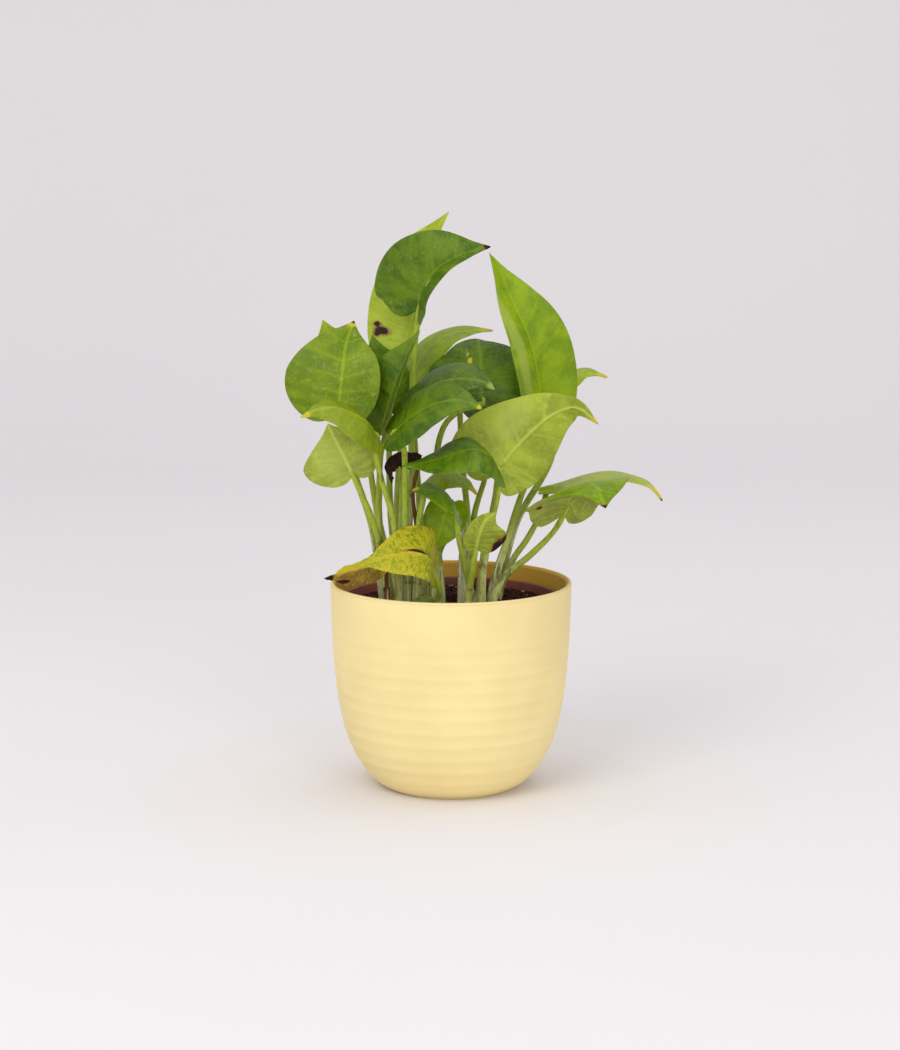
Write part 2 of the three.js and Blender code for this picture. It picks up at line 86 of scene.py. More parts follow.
# Where on the midrib the side vein to each of those margin points starts.
VEIN_STARTS = [0, 0.01, 0.03, 0.07, 0.15, 0.27, 0.43, 0.62, 0.82, 1]

# Each leaf as the CAD model has it: half widths, the way its upper side faces halfway along, each half's
# fold and curl in degrees, how near its base it is widest, its midrib and its stalk from the soil up.
# Millimetres; heights are from the planter's rim.
LEAVES = {
    "crown": dict(
        look="deep", half=(28, 17), face=(-0.2, -0.97, 0.15), fold=(0, 55), curl=(-5, 0), belly=(1.35, 1.35),
        rib=[(-17, -10, 147), (-16, -12, 155), (-12, -14, 163), (-4, -16, 171),
             (6, -16, 176), (21, -12, 180)],
        stalk=[(-26, -10, -20), (-26, -10, -8), (-23, -7, 23), (-21, -5, 61), (-21, -5, 98), (-19, -6, 128)],
    ),
    "crown_back": dict(
        look="pale", half=(26, 18), face=(-0.35, -0.9, 0.15), fold=(0, 50), belly=(1.1, 1.1),
        rib=[(-26, 14, 122), (-21, 17, 139), (-18, 20, 158), (-11, 20, 179), (-1, 18, 197)],
        stalk=[(-32, 5, -20), (-32, 5, -9), (-30, 8, 27), (-28, 10, 59), (-26, 12, 88)],
    ),
    "tall_right": dict(
        look="mid", half=(20, 22), face=(0.15, -0.97, 0.15), fold=(43, 3), belly=(0.95, 0.95),
        rib=[(48, 10, 84), (47, 8, 105), (42, 4, 129), (32, 2, 151), (20, 6, 176)],
        stalk=[(21, -3, -20), (21, -3, -10), (25, 0, 6), (31, 3, 24), (37, 6, 43), (45, 9, 64)],
    ),
    "broad_right": dict(
        look="mid", half=(22, 30), face=(-0.2, 0.95, 0.1), fold=(0, 5), curl=(0, 25), belly=(1.5, 2),
        rib=[(25, -30, 62), (29, -28, 70), (39, -26, 81), (50, -26, 91), (59, -28, 96),
             (67, -32, 97), (77, -36, 89)],
        stalk=[(15, -12, -20), (15, -12, -8), (18, -16, 14), (20, -20, 31), (23, -26, 48)],
    ),
    "front_centre": dict(
        look="deep", half=(17.5, 20), face=(0, -0.28, 0.96), fold=(-15, 0), curl=(-8, -12),
        rib=[(25, -50, 67), (21, -53, 74), (13, -56, 79), (2, -58, 77), (-10, -58, 73), (-25, -56, 70)],
        stalk=[(16, -24, -20), (16, -24, -6), (17, -31, 17), (20, -36, 34), (24, -43, 51)],
    ),
    "narrow_left": dict(
        look="deep", half=(22, 16), face=(-0.6, -0.78, 0.1), fold=(8, 60),
        rib=[(-34, -24, 84), (-30, -27, 101), (-24, -25, 119), (-16, -20, 137)],
        stalk=[(-35, -10, -20), (-35, -10, -7), (-38, -14, 35), (-38, -16, 52), (-37, -20, 71)],
    ),
    "big_left": dict(
        look="mid", half=(30, 22), face=(-0.1, -0.9, 0.4), fold=(8, 12), curl=(-10, 0),
        rib=[(-59, -24, 94), (-57, -22, 114), (-55, -16, 129), (-51, -8, 141)],
        stalk=[(-37, 2, -20), (-37, 2, -9), (-42, -6, 29), (-50, -14, 57), (-56, -20, 79)],
    ),
    "lime_left": dict(
        look="lime", half=(19, 18), face=(-0.1, -0.3, 0.95), fold=(-20, 0), curl=(-10, -15),
        rib=[(-38, -46, 85), (-44, -51, 93), (-57, -56, 100), (-68, -60, 100), (-77, -62, 96)],
        stalk=[(-28, -24, -20), (-28, -24, -5), (-28, -27, 16), (-30, -32, 38),
             (-36, -38, 60), (-39, -43, 76)],
    ),
    "low_left": dict(
        look="pale", half=(17, 24), face=(0.1, 0.98, 0.1), fold=(5, 5),
        rib=[(-51, -34, 62), (-57, -38, 76), (-64, -38, 90)],
        stalk=[(-32, -16, -20), (-32, -16, -6), (-36, -22, 18), (-41, -28, 37), (-47, -32, 52)],
    ),
    "arch_back": dict(
        look="lime", half=(14, 16), face=(-0.5, -0.35, 0.8), fold=(0, 0), curl=(-10, -10),
        rib=[(-21, 26, 108), (-15, 28, 120), (-4, 31, 129), (9, 33, 132), (23, 33, 132)],
        stalk=[(-14, 12, -20), (-14, 12, -7), (-18, 18, 52), (-21, 26, 89)],
    ),
    "round_centre": dict(
        look="deep", half=(28, 27), face=(0.05, -0.75, 0.65), fold=(0, 0), curl=(-6, -6),
        rib=[(17, 0, 97), (16, 4, 108), (16, 12, 119), (15, 19, 126), (15, 29, 128)],
        stalk=[(-5, -6, -20), (-5, -6, -8), (-7, -6, 23), (-8, -5, 61), (-5, -3, 81), (3, -2, 91)],
    ),
    "speckled_centre": dict(
        look="deep", half=(22, 18), face=(0, -0.45, 0.9), fold=(0, 0), curl=(-10, -18),
        rib=[(-22, -28, 99), (-8, -32, 110), (5, -36, 113), (16, -40, 112), (23, -42, 108)],
        stalk=[(-28, -14, -20), (-28, -14, -6), (-26, -18, 47), (-26, -22, 79), (-25, -25, 93)],
    ),
    "dark_centre": dict(
        look="deep", half=(22, 20), face=(-0.05, -0.5, 0.87), fold=(0, 0), curl=(-8, -8),
        rib=[(-30, -44, 86), (-20, -49, 95), (-8, -53, 102), (5, -56, 104), (16, -58, 100)],
        stalk=[(-23, -20, -20), (-23, -20, -5), (-24, -30, 35), (-24, -38, 68), (-25, -43, 79)],
    ),
    "cupped_centre": dict(
        look="lime", half=(13, 11), face=(0.1, -0.3, 0.94), fold=(0, 0), curl=(-20, -20),
        rib=[(-13, -28, 54), (-4, -27, 60), (6, -28, 58), (14, -30, 51)],
        stalk=[(-18, -24, -20), (-18, -24, -4), (-17, -29, 16), (-17, -30, 35), (-15, -30, 47)],
    ),
    "saddle_low": dict(
        look="deep", half=(17, 15), face=(0.1, -0.4, 0.92), fold=(5, -5), curl=(-20, -20),
        rib=[(3, -50, 45), (-1, -54, 54), (-10, -58, 58), (-22, -60, 58)],
        stalk=[(11, -22, -20), (11, -22, -5), (7, -34, 16), (4, -45, 32)],
    ),
    "scorched_low": dict(
        look="mid", half=(15, 8), face=(-0.2, 0.9, 0.35), fold=(0, 0),
        rib=[(13, -42, 25), (15, -47, 34), (18, -50, 41), (24, -52, 46)],
        stalk=[(9, -30, -20), (9, -30, -4), (11, -36, 10)],
    ),
    "olive_low": dict(
        look="mid", half=(13, 11), face=(-0.2, -0.95, 0.1), fold=(15, 15),
        rib=[(0, -20, 45), (-4, -25, 37), (-9, -26, 20)],
        stalk=[(-10, -8, -20), (-10, -8, -7), (-6, -12, 18), (-1, -14, 27), (2, -16, 38)],
    ),
    "yellow_front": dict(
        look="yellow", half=(14, 20), face=(0, -0.8, 0.6), fold=(0, 0), belly=(1, 1.6),
        rib=[(-9, -44, 13), (-11, -50, 20), (-19, -54, 24), (-33, -58, 23), (-49, -58, 18)],
        stalk=[(-7, -32, -20), (-7, -32, -6), (-6, -38, 2)],
    ),
    "low_right": dict(
        look="mid", half=(25, 34), face=(-0.1, 0.35, 0.93), fold=(5, -16), curl=(0, -8), belly=(0.65, 1.1),
        rib=[(60, -10, 38), (63, -13, 46), (67, -20, 53), (71, -30, 58), (76, -42, 57), (80, -50, 47)],
        stalk=[(23, -12, -20), (23, -12, -8), (30, -9, 5), (42, -8, 15), (54, -8, 27)],
    ),
    "trailing_right": dict(
        look="pale", half=(17, 17), face=(0, -0.03, 0.99), fold=(0, 0), curl=(-12, -12),
        rib=[(53, 4, 50), (67, 6, 54), (80, 6, 57), (95, 4, 56), (106, -1, 52), (113, -6, 44)],
        stalk=[(26, 5, -20), (26, 5, -8), (33, 0, 11), (41, 0, 23), (48, 3, 36)],
    ),
    "back_right": dict(
        look="lime", half=(17, 9), face=(0, -0.2, 0.97), fold=(0, 0), curl=(-15, -15),
        rib=[(51, 40, 93), (63, 44, 102), (74, 47, 107), (86, 46, 105)],
        stalk=[(27, 14, -20), (27, 14, -5), (36, 16, 30), (55, 19, 66)],
    ),
    "back_left": dict(
        look="pale", half=(18, 18), face=(-0.3, -0.7, 0.6), fold=(0, 0),
        rib=[(-48, 20, 98), (-57, 23, 113), (-65, 23, 128), (-69, 20, 139)],
        stalk=[(-30, 12, -20), (-30, 12, -6), (-39, 12, 31), (-45, 14, 69)],
    ),
    "shade_left": dict(
        look="deep", half=(15, 16), face=(-0.2, -0.9, 0.2), fold=(0, 0),
        rib=[(-33, 0, 92), (-36, 2, 106), (-39, 4, 119), (-42, 6, 132)],
        stalk=[(-27, 0, -20), (-27, 0, -6), (-32, -1, 33), (-33, -1, 66)],
    ),
    "hidden_back": dict(
        look="deep", half=(25, 25), face=(0.1, 0.75, 0.6), fold=(0, 0), curl=(-8, -8),
        rib=[(5, 34, 89), (5, 44, 100), (5, 58, 107), (6, 74, 105)],
        stalk=[(9, 6, -20), (9, 6, -6), (9, 8, 32), (6, 18, 63)],
    ),
    "dead_front": dict(
        look="dead", half=(11, 4.5), face=(0.1, -0.75, 0.6), fold=(8, 10), curl=(-8, 0),
        rib=[(-36, -34, 20), (-40, -34, 15), (-48, -31, 12), (-57, -27, 9), (-67, -22, 5)],
        stalk=[(-34, -27, -20), (-34, -27, -4), (-34, -29, 6), (-34, -32, 14)],
    ),
    "shrivelled": dict(
        look="brown", half=(6, 6), face=(0.1, -0.6, 0.7), fold=(25, 25), curl=(10, 10),
        rib=[(-17, -28, 69), (-21, -30, 68), (-27, -30, 68), (-31, -30, 65), (-31, -29, 57)],
        stalk=[(-20, -12, -20), (-20, -12, -7), (-18, -16, 25), (-20, -19, 51)],
    ),
    "low_back": dict(
        look="lime", half=(22, 20), face=(0.2, 0.8, 0.55), fold=(0, 0), curl=(-8, -8),
        rib=[(25, 20, 75), (30, 34, 80), (38, 50, 79), (45, 66, 73)],
        stalk=[(10, 12, -20), (10, 12, -6), (12, 10, 31), (18, 12, 53)],
    ),
}
# What a leaf has where its row says nothing.
PLAIN_LEAF = dict(curl=(0, 0), belly=(1, 1))

# Stems with no leaf left on them: their route from the soil up and their radius at each end.
BARE_STEMS = {
    "vine_stub": dict(
        radii=(3.4, 3.1), route=[(-24, -37, -20), (-22, -36, -11), (-17, -34, -6), (-10, -32, -4)],
    ),
    "pale_sheath": dict(
        radii=(2.9, 1.3), route=[(6, -8, -20), (6, -8, -8), (6, -7, 13), (8, -6, 36)],
    ),
}

# Blemishes: the kind, how far along the midrib from 0 to 1, how far right of it, and how far it reaches
# along and across, in millimetres.
BLEMISHES = {
    "crown": [("burnt", 0.99, 0, 3.5, 5), ("pale", 0.3, 3, 3, 2)],
    "crown_back": [
        ("burnt", 0.1, -15, 2.4, 4.6), ("burnt", 0.14, -19, 1.9, 2.2), ("burnt", 0.07, -18, 2.0, 1.6),
    ],
    "tall_right": [("pale", 0.45, -11, 40, 5)],
    "broad_right": [("gold", 0.99, 0, 6, 4), ("pale", 0.35, 12, 14, 9)],
    "big_left": [("burnt", 1.0, 1, 2, 3), ("gold", 0.985, 0, 3.5, 5)],
    "lime_left": [("gold", 0.99, 0, 5, 5)],
    "low_left": [("pale", 0.4, 8, 14, 8)],
    "round_centre": [("gold", 0.6, -7, 5, 0.7), ("gold", 0.48, -5, 4, 0.7)],
    "speckled_centre": [("pale", 0.99, 0, 5, 4)],
    "dark_centre": [("gold", 1.0, 0, 3, 4)],
    "saddle_low": [("gold", 0.93, 2, 3.5, 3), ("burnt", 1.0, 0, 2.0, 3)],
    "scorched_low": [
        ("burnt", 0.12, -14.5, 9, 2.2), ("burnt", 0.0, -11, 7, 2.4), ("burnt", 0.42, -15, 6, 1.2),
    ],
    "yellow_front": [("burnt", 0.34, 2, 7, 0.8), ("burnt", 0.5, 12, 0.7, 0.7)],
    "low_right": [("burnt", 0.14, 22.5, 3.2, 2.8), ("burnt", 1.0, 0, 2.5, 4)],
    "trailing_right": [("gold", 0.95, 0, 9, 6), ("burnt", 1.0, 0, 2.0, 3)],
    "cupped_centre": [("gold", 0.97, 0, 5, 5)],
    "arch_back": [("gold", 0.98, 0, 7, 5)],
    "dead_front": [("burnt", 1.0, -1, 6, 4), ("burnt", 0.75, -6, 9, 1.6), ("gold", 0.5, 3, 22, 3)],
    "back_right": [("gold", 0.97, 0, 5, 5)],
}

# How light each leaf is, from 0 to 1, where the draw isn't left to chance.
TONES = {"big_left": 0.05, "speckled_centre": 0.0, "lime_left": 0.05, "round_centre": 0.3, "narrow_left": 0.5,
         "tall_right": 0.6, "low_right": 0.3, "dark_centre": 0.35, "crown": 0.45, "broad_right": 0.85,
         "front_centre": 0.6, "crown_back": 0.8, "low_left": 0.55, "scorched_low": 0.6, "cupped_centre": 0.6,
         "yellow_front": 0.5, "trailing_right": 0.5}
# How strongly each leaf is streaked with yellow, and how dusty it is, from 0 to 1.
STREAKS = {"speckled_centre": 0.35, "big_left": 0.25, "low_right": 0.3, "yellow_front": 0.9,
           "trailing_right": 0.4, "arch_back": 0.3, "cupped_centre": 0.3, "round_centre": 0.1,
           "crown_back": 0.3, "back_left": 0.4, "tall_right": 0.35}
DUST = {"crown": 0.8, "speckled_centre": 0.9, "big_left": 0.8, "broad_right": 0.6, "lime_left": 0.4,
        "low_right": 0.5, "trailing_right": 0.3, "saddle_low": 0.4, "round_centre": 0.35, "tall_right": 0.3}
# Where each stalk is scarred: how far up (0 to 1) and over what share of its length.
SCARS = {"low_right": (0.3, 0.3), "trailing_right": (0.25, 0.28), "broad_right": (0.2, 0.16),
         "tall_right": (0.2, 0.2), "front_centre": (0.35, 0.12), "speckled_centre": (0.3, 0.1),
         "narrow_left": (0.24, 0.14), "low_left": (0.5, 0.16), "lime_left": (0.75, 0.1),
         "saddle_low": (0.25, 0.2), "back_right": (0.2, 0.2), "big_left": (0.3, 0.08)}

# Colours, as they are seen, 0 to 255.
LEAF_LOOKS = {
    "deep": dict(slot="deep_leaf", upper=(94, 124, 4), shade=(62, 94, 2), under=(122, 144, 30)),
    "mid": dict(slot="mid_leaf", upper=(134, 160, 4), shade=(108, 138, 2), under=(154, 168, 50)),
    "lime": dict(slot="lime_leaf", upper=(148, 168, 18), shade=(126, 148, 8), under=(164, 178, 64)),
    "pale": dict(slot="pale_leaf", upper=(160, 176, 48), shade=(140, 158, 26), under=(164, 178, 64)),
    "yellow": dict(slot="yellow_leaf", upper=(186, 172, 26), shade=(108, 138, 20), under=(172, 168, 52)),
    "dead": dict(slot="dead_leaf", upper=(186, 146, 52), shade=(118, 98, 30), under=(150, 134, 54)),
    "brown": dict(slot="dry_brown", upper=(46, 28, 20), shade=(24, 14, 11), under=(54, 34, 24)),
}
GOLD = (198, 184, 44)
PALE_PATCH = (170, 184, 84)
BURNT = (44, 24, 16)
BURNT_EDGE = (140, 98, 40)
PLANTER_YELLOW = (243, 223, 160)
# Painted shade: the planter's inside is the same plastic as its outside, given a deeper, more saturated
# yellow.
PLANTER_INSIDE_PAINTED_SHADE = (224, 176, 70)
POT_BROWN = (128, 56, 40)
SOIL_BROWN = (88, 38, 24)
SOIL_DARK = (36, 15, 10)
PERLITE = (208, 200, 186)
STALK_GREEN = (160, 178, 56)
# The green stalks' pale foot: partly their own whitish colour, partly painted light for the shade inside the
# pot.
STALK_PALE_AND_PAINTED_LIGHT = (226, 228, 158)
SHEATH_WHITE = (240, 236, 200)
SCAR_BROWN = (84, 58, 40)
TORN_BROWN = (134, 100, 58)
DUST_GREY = (196, 200, 176)
DRY_LOOKS = ("dead", "brown")
# The patches on a blade: kind, colour, where each one's soft edge starts and ends, and how much it covers.
PATCHES = [
    ("pale", PALE_PATCH, -0.2, 0.5, 0.5),
    ("gold", GOLD, -0.25, 0.3, 0.85),
    ("burnt", BURNT_EDGE, -0.45, 0.05, 0.8),
]
SIDE_VEINS = 9
FINE_VEINS = 46


def linear(colour):
    """A colour as seen, 0 to 255, in the linear numbers that shaders take."""
    parts = [part / 255 for part in colour]
    return (*[p / 12.92 if p <= 0.04045 else ((p + 0.055) / 1.055) ** 2.4 for p in parts], 1.0)


# Curves


def smooth_curve(points, shares, mirrored_ends=True):
    """Points at even knots, joined by a Catmull-Rom curve, at shares (0 to 1) of its knots."""
    points = np.asarray(points, float).reshape(len(points), -1)
    first = 2 * points[0] - points[1] if mirrored_ends else points[0]
    last = 2 * points[-1] - points[-2] if mirrored_ends else points[-1]
    padded = np.vstack([first, points, last])
    place = np.clip(np.asarray(shares, float), 0, 1) * (len(points) - 1)
    index = np.minimum(place.astype(int), len(points) - 2)
    t = (place - index)[..., None]
    before, start, end, after = (padded[index + i] for i in range(4))
    rise, fall = 0.5 * (end - before), 0.5 * (after - start)
    return (
        (2 * start - 2 * end + rise + fall) * t**3
        + (-3 * start + 3 * end - 2 * rise - fall) * t**2
        + rise * t
        + start
    )


class Route:
    """A smooth curve through points, read by share of its length."""

    def __init__(self, points, divisions=200):
        self.points = np.asarray(points, float)
        self.shares = np.linspace(0, 1, divisions + 1)
        steps = np.linalg.norm(np.diff(smooth_curve(self.points, self.shares), axis=0), axis=1)
        self.lengths = np.concatenate([[0], np.cumsum(steps)])
        self.length = self.lengths[-1]

    def share(self, along):
        return np.interp(np.asarray(along, float) * self.length, self.lengths, self.shares)

    def at(self, along):
        return smooth_curve(self.points, self.share(along))

    def direction(self, along, reach=1e-4):
        share = self.share(along)
        ahead = smooth_curve(self.points, np.minimum(share + reach, 1))
        way = ahead - smooth_curve(self.points, np.maximum(share - reach, 0))
        return way / np.linalg.norm(way, axis=-1, keepdims=True)


def squared(vector, along):
    """The part of a vector that is square to a direction, at length 1."""
    across = vector - np.dot(vector, along) * along
    return across / np.linalg.norm(across)


def from_rim(points):
    return [(x, y, z + RIM_HEIGHT) for x, y, z in points]


def carried(start_vector, directions, start):
    """A vector carried both ways along a route's directions without twisting."""
    ups = [None] * len(directions)
    ups[start] = squared(np.asarray(start_vector, float), directions[start])
    for i in range(start + 1, len(directions)):
        ups[i] = squared(ups[i - 1], directions[i])
    for i in range(start - 1, -1, -1):
        ups[i] = squared(ups[i + 1], directions[i])
    return np.array(ups)


# Meshes


def add_piece(node, points, faces, materials, uvs=None, fields=None, face_materials=None):
    """A smooth mesh piece, given in millimetres, that stands for a CAD node."""
    mesh = bpy.data.meshes.new(f"{node}_fine")
    mesh.from_pydata((np.asarray(points) * MM).tolist(), [], [list(map(int, face)) for face in faces])
    for material in materials:
        mesh.materials.append(material)
    if face_materials is not None:
        mesh.polygons.foreach_set("material_index", np.asarray(face_materials, np.int32))
    mesh.polygons.foreach_set("use_smooth", np.ones(len(mesh.polygons), bool))
    if uvs is not None:
        corners = np.concatenate([np.asarray(uv, float).reshape(-1, 2) for uv in uvs])
        mesh.uv_layers.new(name="UVMap").data.foreach_set("uv", corners.ravel())
    for name, values in (fields or {}).items():
        spread = np.broadcast_to(np.asarray(values, float), (len(points),))
        mesh.attributes.new(name, "FLOAT", "POINT").data.foreach_set("value", spread.ravel())
    mesh.update()
    piece = bpy.data.objects.new(f"{node}_fine", mesh)
    bpy.context.scene.collection.objects.link(piece)
    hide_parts(node)
    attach(piece, "root")
    return piece


def turned_faces(rings, sides):
    """Quads between rings of points, each ring with the same number of sides, facing out."""
    faces = []
    for i in range(rings - 1):
        for j in range(sides):
            a, b = i * sides + j, i * sides + (j + 1) % sides
            faces.append((a, b, b + sides, a + sides))
    return faces


def turned_points(profile, sides):
    """A closed (radius, height) profile turned about +Z."""
    turn = np.linspace(0, 2 * np.pi, sides, endpoint=False)
    radius, height = np.asarray(profile, float).T
    x = radius[:, None] * np.cos(turn)
    y = radius[:, None] * np.sin(turn)
    return np.stack([x, y, np.broadcast_to(height[:, None], x.shape)], axis=-1).reshape(-1, 3)


# Materials


def lighter(colour, by):
    return tuple(min(255, part + by) for part in colour)


def scaled(colour, share):
    return tuple(share * part for part in colour)


class Shader:
    """A node material, built one node at a time round its Principled shader."""

    def __init__(self, name):
        self.material = bpy.data.materials.new(name)
        self.material.use_nodes = True
        self.nodes = self.material.node_tree.nodes
        self.links = self.material.node_tree.links
        self.surface = self.nodes["Principled BSDF"]

    def plug(self, socket, value):
        if isinstance(value, bpy.types.NodeSocket):
            self.links.new(value, socket)
        else:
            socket.default_value = value

    def node(self, kind, inputs=None, **settings):
        made = self.nodes.new(f"ShaderNode{kind}")
        for key, value in settings.items():
            setattr(made, key, value)
        for key, value in (inputs or {}).items():
            self.plug(made.inputs[key], value)
        return made

    def math(self, operation, a, b, clamp=False):
        return self.node("Math", {0: a, 1: b}, operation=operation, use_clamp=clamp).outputs[0]

    def times(self, a, b):
        return self.math("MULTIPLY", a, b)

    def plus(self, a, b, clamp=False):
        return self.math("ADD", a, b, clamp)

    def mix(self, share, a, b):
        made = self.node("Mix", data_type="RGBA")
        self.plug(made.inputs["Factor"], share)
        colours = [s for s in made.inputs if s.type == "RGBA"]
        for socket, colour in zip(colours, (a, b)):
            self.plug(socket, colour if isinstance(colour, bpy.types.NodeSocket) else linear(colour))
        return next(s for s in made.outputs if s.type == "RGBA")

    def stain(self, colour, tint, where, strength):
        """A colour with another laid over it: where tells how much of the strength each place gets."""
        return self.mix(self.times(where, strength), colour, tint)

    def field(self, name):
        return self.node("Attribute", attribute_name=name).outputs["Fac"]

    def place(self, stretch=(1, 1, 1)):
        """The object's own coordinates in metres, stretched."""
        where = self.node("TexCoord").outputs["Object"]
        return self.node("Mapping", {"Vector": where, "Scale": stretch}).outputs[0]

    def blade_place(self, round_margin, across):
        """Coordinates that follow a blade's side veins, and differ from leaf to leaf."""
        split = self.node("SeparateXYZ", {0: self.node("TexCoord").outputs["UV"]})
        x, y = self.times(split.outputs[0], round_margin), self.times(split.outputs[1], across)
        return self.node("CombineXYZ", {0: x, 1: y, 2: self.field("seed")}).outputs[0]

    def noise(self, where, scale, detail=4.0, roughness=0.55):
        inputs = {"Vector": where, "Scale": scale, "Detail": detail, "Roughness": roughness}
        return self.node("TexNoise", inputs).outputs[0]

    def step(self, value, low, high):
        """0 below low, 1 above high, and smooth between."""
        inputs = {"Value": value, "From Min": low, "From Max": high}
        return self.node("MapRange", inputs, interpolation_type="SMOOTHSTEP").outputs[0]

    def span(self, value, low, high):
        """A 0 to 1 value spread evenly from low to high."""
        return self.node("MapRange", {"Value": value, "To Min": low, "To Max": high}).outputs[0]

    def relief(self, *layers):
        """Bumps on top of each other, each with its height, its depth in metres and its strength."""
        inputs = {}
        for height, depth, strength in layers:
            inputs.update({"Height": height, "Distance": depth, "Strength": strength})
            inputs["Normal"] = self.node("Bump", inputs).outputs[0]
        return inputs["Normal"]

    def finish(self, colour, roughness, shine, normal=None):
        inputs = {"Base Color": colour, "Roughness": roughness, "Specular IOR Level": shine}
        if normal is not None:
            inputs["Normal"] = normal
        for name, value in inputs.items():
            self.plug(self.surface.inputs[name], value)
        return self.material


def leaf_material(look_name, under):
    """One side of a blade: mottled green, paler along its veins, with gold, pale and burnt patches."""
    look = LEAF_LOOKS[look_name]
    dry = look_name in DRY_LOOKS
    yellowing = look_name == "yellow"
    shader = Shader(f"{look['slot']}_{'under' if under else 'upper'}")
    place = shader.place()
    broad = shader.noise(place, 150.0 if yellowing else 55.0, 5.0 if yellowing else 3.0)
    fine = shader.noise(place, 420.0, 5.0, 0.65)
    ragged = shader.noise(place, 260.0, 6.0, 0.7)

    vein_grain = (52.0, 16.0) if yellowing else (16.0, 3.0)
    along_veins = shader.noise(shader.blade_place(*vein_grain), 1.0, 4.0)
    mottle = shader.times(shader.plus(broad, along_veins), 0.5)
    base = look["under"] if under else look["upper"]
    deep = scaled(look["under"], 0.84) if under else look["shade"]
    colour = shader.mix(shader.step(mottle, 0.4, 0.6), deep, base)
    tone = shader.span(shader.field("tone"), 0.66, 1.26)
    colour = shader.node("HueSaturation", {"Value": tone, "Color": colour}).outputs[0]
    speckle = shader.step(fine, 0.48, 0.72)
    colour = shader.stain(colour, lighter(base, 50), speckle, 0.26 if under else 0.16)

    # Veins: a strong midrib, side veins that run out to the margin, and a net between them.
    split = shader.node("SeparateXYZ", {0: shader.node("TexCoord").outputs["UV"]})
    round_margin = split.outputs[0]
    wave = shader.math("PINGPONG", shader.times(round_margin, 2.0 * SIDE_VEINS), 1.0)
    fine_wave = shader.math("PINGPONG", shader.times(round_margin, 2.0 * FINE_VEINS), 1.0)
    off_rib = shader.field("off_rib")
    inner = shader.times(shader.step(off_rib, 26.0, 2.0), 0.34 if under else 0.2)
    cells = shader.node("TexVoronoi", {"Vector": place, "Scale": 520.0}, feature="DISTANCE_TO_EDGE")
    netted = cells.outputs[0]
    vein_colour = lighter(base, 34 if under else 26)
    colour = shader.stain(colour, vein_colour, shader.step(wave, 0.82, 1.0), inner)
    colour = shader.stain(colour, vein_colour, shader.step(netted, 0.09, 0.0), 0.1)
    colour = shader.stain(colour, vein_colour, shader.step(off_rib, 1.5, 0.2), 0.7 if under else 0.4)

    # Streaks of gold along the veins, then the patches.
    streak_grain = (70.0, 14.0) if yellowing else (34.0, 4.5)
    streak = shader.noise(shader.blade_place(*streak_grain), 1.0, 5.0, 0.6)
    level = shader.math("SUBTRACT", 0.80, shader.times(shader.field("streak"), 0.30))
    streaked = shader.step(shader.math("SUBTRACT", streak, level), -0.03, 0.05)
    colour = shader.stain(colour, GOLD, streaked, 0.8)
    rough_edge = shader.times(shader.math("SUBTRACT", ragged, 0.5), 0.9)
    for kind, tint, low, high, strength in PATCHES:
        patch = shader.plus(shader.field(kind), rough_edge)
        colour = shader.stain(colour, tint, shader.step(patch, low, high), strength)
    char = shader.step(patch, 0.0, 0.25)
    colour = shader.mix(char, colour, BURNT)

    # Dried water marks and dust, mostly on the upper side.
    marks = shader.step(shader.noise(place, 640.0, 4.0, 0.72), 0.56, 0.72)
    patches = shader.step(shader.noise(place, 75.0, 2.0), 0.38, 0.56)
    dust = shader.times(shader.times(marks, patches), shader.field("dust"))
    dust = shader.times(dust, 0.25 if under else 0.42)
    colour = shader.mix(dust, colour, DUST_GREY)

    roughness = 0.78 if dry else 0.58 if under else 0.4
    gloss = shader.span(broad, roughness - 0.07, roughness + 0.09)
    gloss = shader.plus(gloss, shader.times(char, 0.25), clamp=True)
    gloss = shader.plus(gloss, shader.times(dust, 0.4), clamp=True)
    relief = shader.relief(
        (shader.times(fine_wave, shader.step(along_veins, 0.35, 0.7)), 0.00007, 0.3),
        (shader.step(netted, 0.0, 0.2), 0.00008, 0.35),
        (along_veins, 0.0009, 0.55),
        (fine, 0.00018, 0.55 if dry else 0.3),
        (broad, 0.0014, 0.45),
    )
    return shader.finish(colour, gloss, 0.12 if dry else 0.22, relief)


def stalk_material(name, green, pale, dry=False):
    """A leaf stalk: paler at its foot and on its sheath, streaked lengthwise, with brown scars. On the green
    stalks the pale foot is partly their own colour and partly painted light for the shade inside the pot.
    """
    shader = Shader(name)
    place = shader.place()
    streaks = shader.noise(shader.place((1.0, 1.0, 0.16)), 900.0, 4.0, 0.6)
    broad = shader.noise(place, 90.0, 3.0)
    # Paler towards the foot: partly the stalk's own pale base, partly painted light that brightens where the
    # pot and leaves shade it.
    foot = shader.times(shader.step(shader.field("climb"), 0.62, 0.1), shader.span(broad, 0.3, 1.0))
    colour = shader.mix(foot, green, pale)
    colour = shader.stain(colour, scaled(green, 0.62), shader.step(streaks, 0.5, 0.66), 0.5)
    wing = shader.field("wing")
    colour = shader.stain(colour, SHEATH_WHITE, shader.step(wing, 0.25, 0.8), 0.7)
    torn = shader.step(shader.times(wing, shader.noise(place, 330.0, 4.0)), 0.5, 0.62)
    colour = shader.mix(torn, colour, TORN_BROWN)
    ragged = shader.noise(shader.place((1.0, 1.0, 0.22)), 520.0, 5.0, 0.7)
    scar = shader.step(shader.plus(shader.field("scar"), shader.times(ragged, 2.2)), 1.86, 2.1)
    colour = shader.stain(colour, SCAR_BROWN, scar, 0.6)
    flecks = shader.step(shader.noise(place, 620.0, 3.0, 0.6), 0.69, 0.76)
    colour = shader.stain(colour, SCAR_BROWN, flecks, 0.5)
    roughness = 0.75 if dry else 0.42
    gloss = shader.span(broad, roughness - 0.05, roughness + 0.12)
    gloss = shader.plus(gloss, shader.times(scar, 0.25))
    relief = shader.relief((streaks, 0.00035, 0.6), (broad, 0.0012, 0.35))
    return shader.finish(colour, gloss, 0.12 if dry else 0.18, relief)


